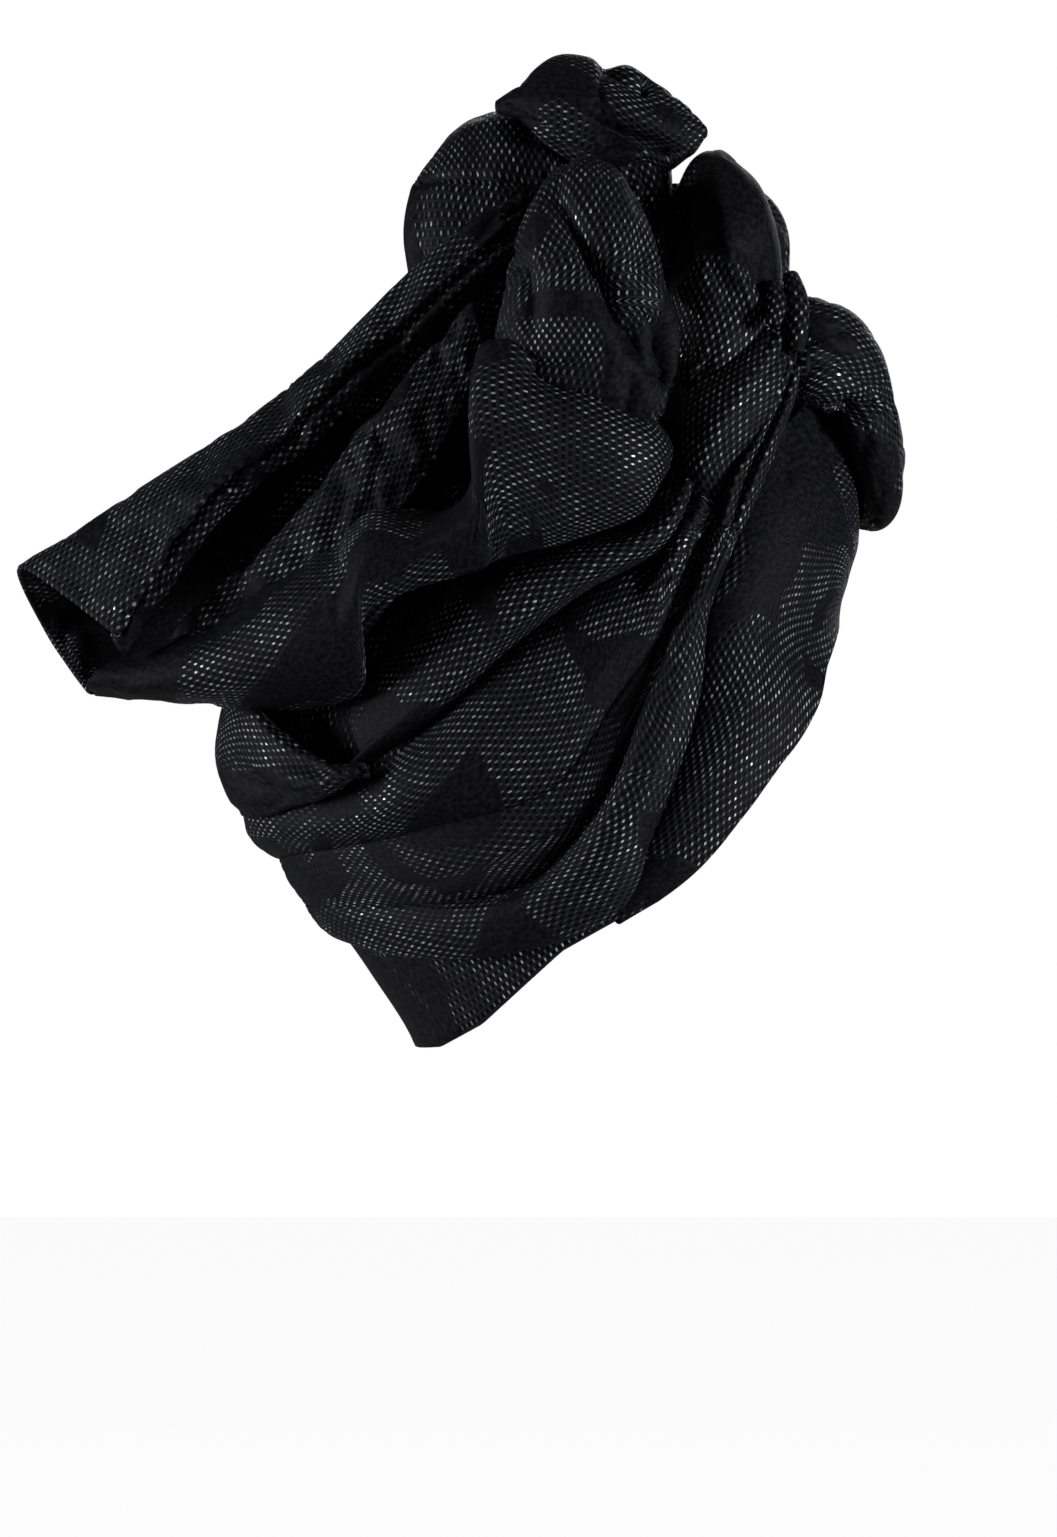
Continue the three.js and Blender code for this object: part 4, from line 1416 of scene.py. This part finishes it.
    front_loop = BowedLoop(
        "front_loop", Held.DRAPED, ("brow_band",), 120, 64, settling=Settling(0.03), shift=(2.08, 2.15),
        margin=None,
        width_way=(-0.3, 0, 1), arc=(-122, 112), creases=(Crease(((0.4, -28), (2.6, -28)), 4, 22),),
        rows=(
            Spine(60, -36, 166, 33, 13),
            Spine(67, -34, 164, 34, 15),
            Spine(77, -23, 156, 36, 13),
            Spine(82, -6, 140, 47, 12),
            Spine(81, 12, 132, 55, 11),
            Spine(73, 31, 134, 50, 11),
            Spine(61, 45, 142, 36, 9),
        ),
        strokes=(
            Stroke(((56, 150), (61, 144), (68, 142), (76, 144), (84, 146.5), (90, 149)), 7.0, 8.0),
            Stroke(((62, 168), (70, 163), (80, 160)), 2.0, 8.0),
        ),
        pleats=(Pleating(5, 2.5, gathered, seed=28),),
    )
    binding_front = BoundBand(
        "binding_front", Held.FOLDED, ("gather_band",), 36, 32, shift=(2.05, 0.68), margin=None,
        width_way=(1, 0, 0), arc=(-170, 170), wall=1.2, settling=None,
        rows=(Spine(57, -44, 190, 4.4, 2.2), Spine(58.5, -52, 182, 7.2, 3.6), Spine(59, -57, 172, 6.8, 3.4),
              Spine(58, -61, 163, 4.4, 2.2)),
    )
    binding_back = BoundBand(
        "binding_back", Held.FOLDED, ("gather_band",), 36, 32, shift=(0.45, 1.10), margin=None,
        width_way=(1, 0, 0), arc=(-170, 170), wall=1.2, settling=None,
        rows=(Spine(50.5, -52, 187, 4, 2), Spine(51.5, -58, 180, 6, 3), Spine(50, -66, 172, 4, 2)),
    )
    front_pleat = LinedCloth(
        "front_pleat", Held.FOLDED, ("sash",), 70, 50, settling=None, shift=(1.10, 1.03), margin=None,
        core=(40, -50, 130), wall=1.2,
        sections=(
            ((55.5, -57, 160), (56.5, -60, 160), (57.5, -58, 159), (58.5, -59, 158.5), (59.5, -56, 158)),
            ((50, -61, 148.5), (51.5, -66, 148), (53.5, -62.5, 147), (55.5, -65, 146.5), (57, -60, 146)),
            ((43, -67, 134), (45, -72, 133.5), (47, -68, 132.5), (49.5, -70.5, 132), (51.5, -65, 131)),
            ((35, -71, 120.5), (37.5, -76, 119.5), (40.5, -72, 118.5), (43.5, -74, 118), (46, -69, 117)),
            ((31, -76, 104), (33, -78, 103.5), (35.5, -75.5, 103), (37.5, -76, 102.5), (39.5, -73, 102)),
        ),
    )
    return [centre, crown_loop, far_loop, rear_loop, top_knot, knot_neck, gather_band, front_loop,
            binding_front, binding_back, front_pleat]


@dataclass(frozen=True)
class BlackJacquard:
    """Black polyester jacquard, woven as smooth satin with patches of open waffle and bright thread.

    Attributes:
        satin: Colour of the smooth ground.
        waffle: Colour of the raised threads of a patch.
        hole_shade_and_mottle: Painted shade between the threads of a patch, and the dark end of the satin's
            mottle.
        thread: Colour of the metal-wrapped thread that shows as dashes, near white as painted glint where a
            dash is bright.
        patch_mm: Width of a patch.
        patch_edge: Noise between which satin turns to waffle.
        pitch_mm: Spacing of the dashes across and along.
        dash_mm: Width and length of a dash.
        dash_edge: Share of a dash's half size at which it begins and ends to fade.
        hole_edge: Share of a cell at which the gap between threads begins and ends to fade.
        hole_long: How much longer than wide the gap between threads is.
        zone: Width of the zones in which the dashes carry their painted glint, as a share of a patch.
        zone_edge: Noise between which the painted glint of the dashes turns on.
        dull: Painted glint of a dash outside those zones.
        spread: Above one, few dashes carry a bright painted glint.
        faintest: Painted glint of the faintest dash.
        mottle_mm: Width of a mark of the satin's mottle.
        mottle_edge: Noise between which the mottle turns from dark to light.
        rib_mm: Width of a rib of the cloth.
        rib_height: Height of a rib, as a share of a dash's.
        relief_mm: Height of a dash.
        relief: Strength of the relief.
        specular: Mirror-like reflection.
        rough: Roughness of the satin.
        waffle_gloss: How much less rough the waffle is.
        thread_gloss: How much less rough the bright thread is.
        thread_metal: How metallic the bright thread is.
    """

    satin: str = "#1b1c22"
    waffle: str = "#1b1c22"
    # Painted shade: this near black stands for the shade in the hollows between threads, and is also the
    # dark end of the satin's mottle.
    hole_shade_and_mottle: str = "#020203"
    thread: str = "#eceef2"
    patch_mm: float = 42.0
    patch_edge: tuple[float, float] = (0.43, 0.45)
    pitch_mm: tuple[float, float] = (2.7, 2.3)
    dash_mm: tuple[float, float] = (0.7, 1.35)
    dash_edge: tuple[float, float] = (0.8, 1.1)
    hole_edge: tuple[float, float] = (0.29, 0.38)
    hole_long: float = 1.15
    zone: float = 0.6
    zone_edge: tuple[float, float] = (0.4, 0.6)
    dull: float = 0.1
    spread: float = 1.8
    faintest: float = 0.08
    mottle_mm: float = 1.785714
    mottle_edge: tuple[float, float] = (0.4, 0.68)
    rib_mm: float = 1.111111
    rib_height: float = 0.6
    relief_mm: float = 0.4
    relief: float = 0.6
    specular: float = 0.1
    rough: float = 0.68
    waffle_gloss: float = 0.06
    thread_gloss: float = 0.34
    thread_metal: float = 0.75

    def made(self) -> bpy.types.Material:
        """Make the cloth's material.

        Returns:
            The material.
        """
        # Woven polyester gives a soft dull black with a broken grey sheen on the folds; its patches give
        # rows of small metal-thread dashes with painted glints, bright at random and in zones, and hollows
        # painted near black as shade.
        material = bpy.data.materials.new("black_jacquard")
        material.use_nodes = True
        tree = material.node_tree
        tree.nodes.clear()
        add = partial(node, tree)
        satin, waffle, hole_shade_and_mottle, thread = map(linear, (self.satin, self.waffle, self.hole_shade_and_mottle, self.thread))
        place = add("ShaderNodeUVMap", uv_map="weave")
        patch = self.patches(tree, place)
        dash, thread_and_painted_glint, hollow = self.dashes(tree, place)
        # The satin is woven finer than the picture shows, so its mottle is drawn 1.8 mm wide.
        mottle = {"Vector": place, "Scale": 1 / (self.mottle_mm * MM), "Detail": 2.0, "Roughness": 0.6}
        low, high = self.mottle_edge
        mottle = add(RANGE, {"Value": add(NOISE, mottle), "From Min": low, "From Max": high})
        colour = {}
        for name, share, first, second in (
            ("smooth", mottle, hole_shade_and_mottle, satin),
            # Painted shade: the hollows between the threads of a patch are coloured near black.
            ("ground", hollow, waffle, hole_shade_and_mottle),
            # Painted glint: the dashes of metal thread turn near white where their glint is painted bright.
            ("bright", thread_and_painted_glint, "ground", thread),
            ("woven", patch, "smooth", "bright"),
        ):
            first, second = colour.get(first, first), colour.get(second, second)
            sources = {0: share, MIX_FIRST: first, MIX_SECOND: second}
            colour[name] = add(MIX, sources, MIX_RESULT, data_type="RGBA")
        glint = add(MATH, (patch, thread_and_painted_glint), operation="MULTIPLY")
        metal = add(MATH, (glint, self.thread_metal), operation="MULTIPLY")
        rough = add(MATH, (patch, -self.waffle_gloss, self.rough), operation="MULTIPLY_ADD")
        rough = add(MATH, (glint, -self.thread_gloss, rough), operation="MULTIPLY_ADD")
        height = add(MATH, (dash, hollow), operation="SUBTRACT")
        height = add(MATH, (patch, height), operation="MULTIPLY")
        # Its ribs are drawn 1.1 mm wide, coarser than the real threads, for the same reason.
        ribs = add(NOISE, {"Vector": place, "Scale": 1 / (self.rib_mm * MM), "Detail": 2.0})
        height = add(MATH, (ribs, self.rib_height, height), operation="MULTIPLY_ADD")
        bump = {"Height": height, "Strength": self.relief, "Distance": self.relief_mm * MM}
        shader = add("ShaderNodeBsdfPrincipled", {
            "Base Color": colour["woven"],
            "Metallic": metal,
            "Roughness": rough,
            "Specular IOR Level": self.specular,
            "Normal": add("ShaderNodeBump", bump),
        })
        add("ShaderNodeOutputMaterial", {"Surface": shader})
        return material

    def patches(self, tree: bpy.types.NodeTree, place: bpy.types.NodeSocket) -> bpy.types.NodeSocket:
        """Draw the irregular patches.

        Args:
            tree: The material's nodes.
            place: Place on the woven cloth, in metres.

        Returns:
            One where the cloth is waffle and nought where it is satin.
        """
        shape = {"Scale": 1 / (self.patch_mm * MM), "Detail": 1.2, "Roughness": 0.45, "Distortion": 0.7}
        noise = node(tree, NOISE, {"Vector": place, **shape})
        low, high = self.patch_edge
        return node(tree, RANGE, {"Value": noise, "From Min": low, "From Max": high})

    def dashes(self, tree: bpy.types.NodeTree, place: bpy.types.NodeSocket) -> list[bpy.types.NodeSocket]:
        """Draw the staggered dashes.

        Args:
            tree: The material's nodes.
            place: Place on the woven cloth, in metres.

        Returns:
            The dashes, the bright ones among them with their painted glint, and the hollows between
            threads, which also carry painted shade.
        """
        add = partial(node, tree)
        wide, long = self.pitch_mm
        x, y = add("ShaderNodeSeparateXYZ", (place,)).node.outputs[:2]
        down = add(MATH, (x, long * MM), operation="DIVIDE")
        row = add(MATH, (down,), operation="FLOOR")
        odd = add(MATH, (row, 1.0), operation="PINGPONG")
        sideways = add(MATH, (y, wide * MM), operation="DIVIDE")
        sideways = add(MATH, (odd, 0.5, sideways), operation="MULTIPLY_ADD")
        cells = add("ShaderNodeCombineXYZ", (sideways, down))
        cell = add(VECTOR, (cells,), operation="FLOOR")
        inner = add(VECTOR, (cells,), operation="FRACTION")
        inner = add(VECTOR, (inner, (0.5, 0.5, 0.5)), operation="SUBTRACT")
        stretch = (2 * wide / self.dash_mm[0], 2 * long / self.dash_mm[1], 0.0)
        reach = add(VECTOR, (inner, stretch), operation="MULTIPLY")
        reach = add(VECTOR, (reach,), "Value", operation="LENGTH")
        inner = add(VECTOR, (inner,), operation="ABSOLUTE")
        across, along = add("ShaderNodeSeparateXYZ", (inner,)).node.outputs[:2]
        beside = add(MATH, (0.5, across), operation="SUBTRACT")
        beside = add(MATH, (beside, self.hole_long), operation="MULTIPLY")
        edge = add(MATH, (beside, along), operation="MAXIMUM")
        # Painted glint: broad zones and a random level for each cell set how brightly each dash glints.
        zone = add(NOISE, {"Vector": place, "Scale": 1 / (self.zone * self.patch_mm * MM)})
        dash, show, hollow = (
            add(RANGE, {"Value": value, "From Min": low, "From Max": high, "To Min": first, "To Max": last})
            for value, (low, high), first, last in (
                (reach, self.dash_edge, 1.0, 0.0),
                (zone, self.zone_edge, self.dull, 1.0),
                (edge, self.hole_edge, 1.0, 0.0),
            )
        )
        level = add("ShaderNodeTexWhiteNoise", {"Vector": cell}, noise_dimensions="2D")
        level = add(MATH, (level, self.spread), operation="POWER")
        level = add(MATH, (level, 1 - self.faintest, self.faintest), operation="MULTIPLY_ADD")
        thread_and_painted_glint = add(MATH, (dash, level), operation="MULTIPLY")
        thread_and_painted_glint = add(MATH, (thread_and_painted_glint, show), operation="MULTIPLY")
        return [dash, thread_and_painted_glint, hollow]


class Lamp(NamedTuple):
    """A soft square light: its name, place and width in metres, and power in watts."""

    name: str
    place: tuple[float, float, float]
    width: float
    power: float


@dataclass(frozen=True)
class Studio:
    """A plain pale studio with soft light and a long lens level with the headwrap.

    Attributes:
        frame_px: Width and height of the picture.
        mm_per_px: Size of a picture point at the headwrap.
        origin_px: Where the head opening's middle is in the picture.
        distance: Camera's distance, in metres.
        floor_z: Height of the floor, in metres.
        floor_reach: How far the floor runs each way, in metres.
        paper: Colour of the floor.
        paper_rough: Roughness of the floor.
        glow: Light that the floor gives, to the headwrap and to the camera.
        air: Strength of the light from all round.
        white: Colour of the glow and of the air.
        lamps: Soft lights round the headwrap.
        aim: Point that the lights face.
        sensor_mm: Width of the camera's sensor.
        far: Furthest distance that the camera sees, in metres.
    """

    frame_px: tuple[int, int] = (1057, 1537)
    mm_per_px: float = 0.35
    origin_px: tuple[int, int] = (626, 824)
    distance: float = 5.0
    floor_z: float = -0.42
    floor_reach: float = 9.0
    paper: str = "#a8a8a6"
    paper_rough: float = 0.9
    glow: tuple[float, float] = (0.03, 0.95)
    air: float = 0.010
    white: str = "#ffffff"
    lamps: tuple[Lamp, ...] = (
        Lamp("side_right", (2.4, -1.4, 0.05), 0.9, 62.0),
        Lamp("side_left", (-2.5, -0.4, 0.25), 0.9, 46.0),
        Lamp("top", (0.0, 0.2, 2.6), 1.5, 7.0),
        Lamp("rear", (0.4, 2.4, 0.8), 1.5, 30.0),
    )
    aim: tuple[float, float, float] = (-0.03, 0.0, 0.08)
    sensor_mm: float = 36.0
    far: float = 50.0

    def build(self) -> None:
        """Make the floor, the lights and the camera."""
        self.floor()
        self.lights()
        self.camera()

    def floor(self) -> None:
        """Lay a flat floor that runs out of sight on every side."""
        across = np.linspace(-self.floor_reach, self.floor_reach, 4)
        points = np.array([[x, y, self.floor_z] for x in across for y in across])
        quads = grid_quads(np.arange(len(points)).reshape(len(across), -1))
        mesh = mesh_from("studio_floor", points, quads, points[:, :2])
        floor = bpy.data.objects.new("studio_floor", mesh)
        bpy.context.collection.objects.link(floor)
        # Matt background paper gives a plain even white behind the cloth.
        paper = bpy.data.materials.new("white_paper")
        paper.use_nodes = True
        paper.node_tree.nodes.clear()
        add = partial(node, paper.node_tree)
        sight = add("ShaderNodeLightPath", out="Is Camera Ray")
        glow = add(RANGE, {"Value": sight, "To Min": self.glow[0], "To Max": self.glow[1]})
        shader = add("ShaderNodeBsdfPrincipled", {
            "Base Color": linear(self.paper),
            "Roughness": self.paper_rough,
            "Emission Color": linear(self.white),
            "Emission Strength": glow,
        })
        add("ShaderNodeOutputMaterial", {"Surface": shader})
        mesh.materials.append(paper)

    def lights(self) -> None:
        """Hang soft lights round the headwrap."""
        for name, place, width, power in self.lamps:
            data = bpy.data.lights.new(name, "AREA")
            data.energy = power
            data.size = width
            lamp = bpy.data.objects.new(name, data)
            lamp.location = place
            aim = np.array(self.aim) - np.array(place)
            lamp.rotation_euler = (math.acos(-aim[2] / np.linalg.norm(aim)), 0, math.atan2(-aim[0], aim[1]))
            bpy.context.collection.objects.link(lamp)
        world = bpy.data.worlds.new("studio_air")
        world.use_nodes = True
        tree = world.node_tree
        sight = node(tree, "ShaderNodeLightPath", out="Is Camera Ray")
        strength = node(tree, RANGE, {"Value": sight, "To Min": self.air, "To Max": 1.0})
        sky = tree.nodes["Background"]
        sky.inputs["Color"].default_value = linear(self.white)
        tree.links.new(strength, sky.inputs["Strength"])
        bpy.context.scene.world = world
        bpy.context.scene.view_settings.view_transform = "Standard"

    def camera(self) -> None:
        """Set the camera level with the middle of the picture."""
        data = bpy.data.cameras.new("camera")
        height = self.frame_px[1] * self.mm_per_px * MM
        data.sensor_width = self.sensor_mm
        data.lens = data.sensor_width * self.distance / height
        data.clip_end = self.far
        camera = bpy.data.objects.new("camera", data)
        x = (self.frame_px[0] / 2 - self.origin_px[0]) * self.mm_per_px * MM
        z = (self.origin_px[1] - self.frame_px[1] / 2) * self.mm_per_px * MM
        camera.location = (x, -self.distance, z)
        camera.rotation_euler = (math.pi / 2, 0, 0)
        bpy.context.collection.objects.link(camera)
        bpy.context.scene.camera = camera


def main() -> None:
    logging.basicConfig(level=logging.INFO, format="%(message)s")
    cloth = BlackJacquard().made()
    for piece in build_pieces():
        piece.build(cloth)
    Studio().build()


if __name__ == "__main__":
    main()
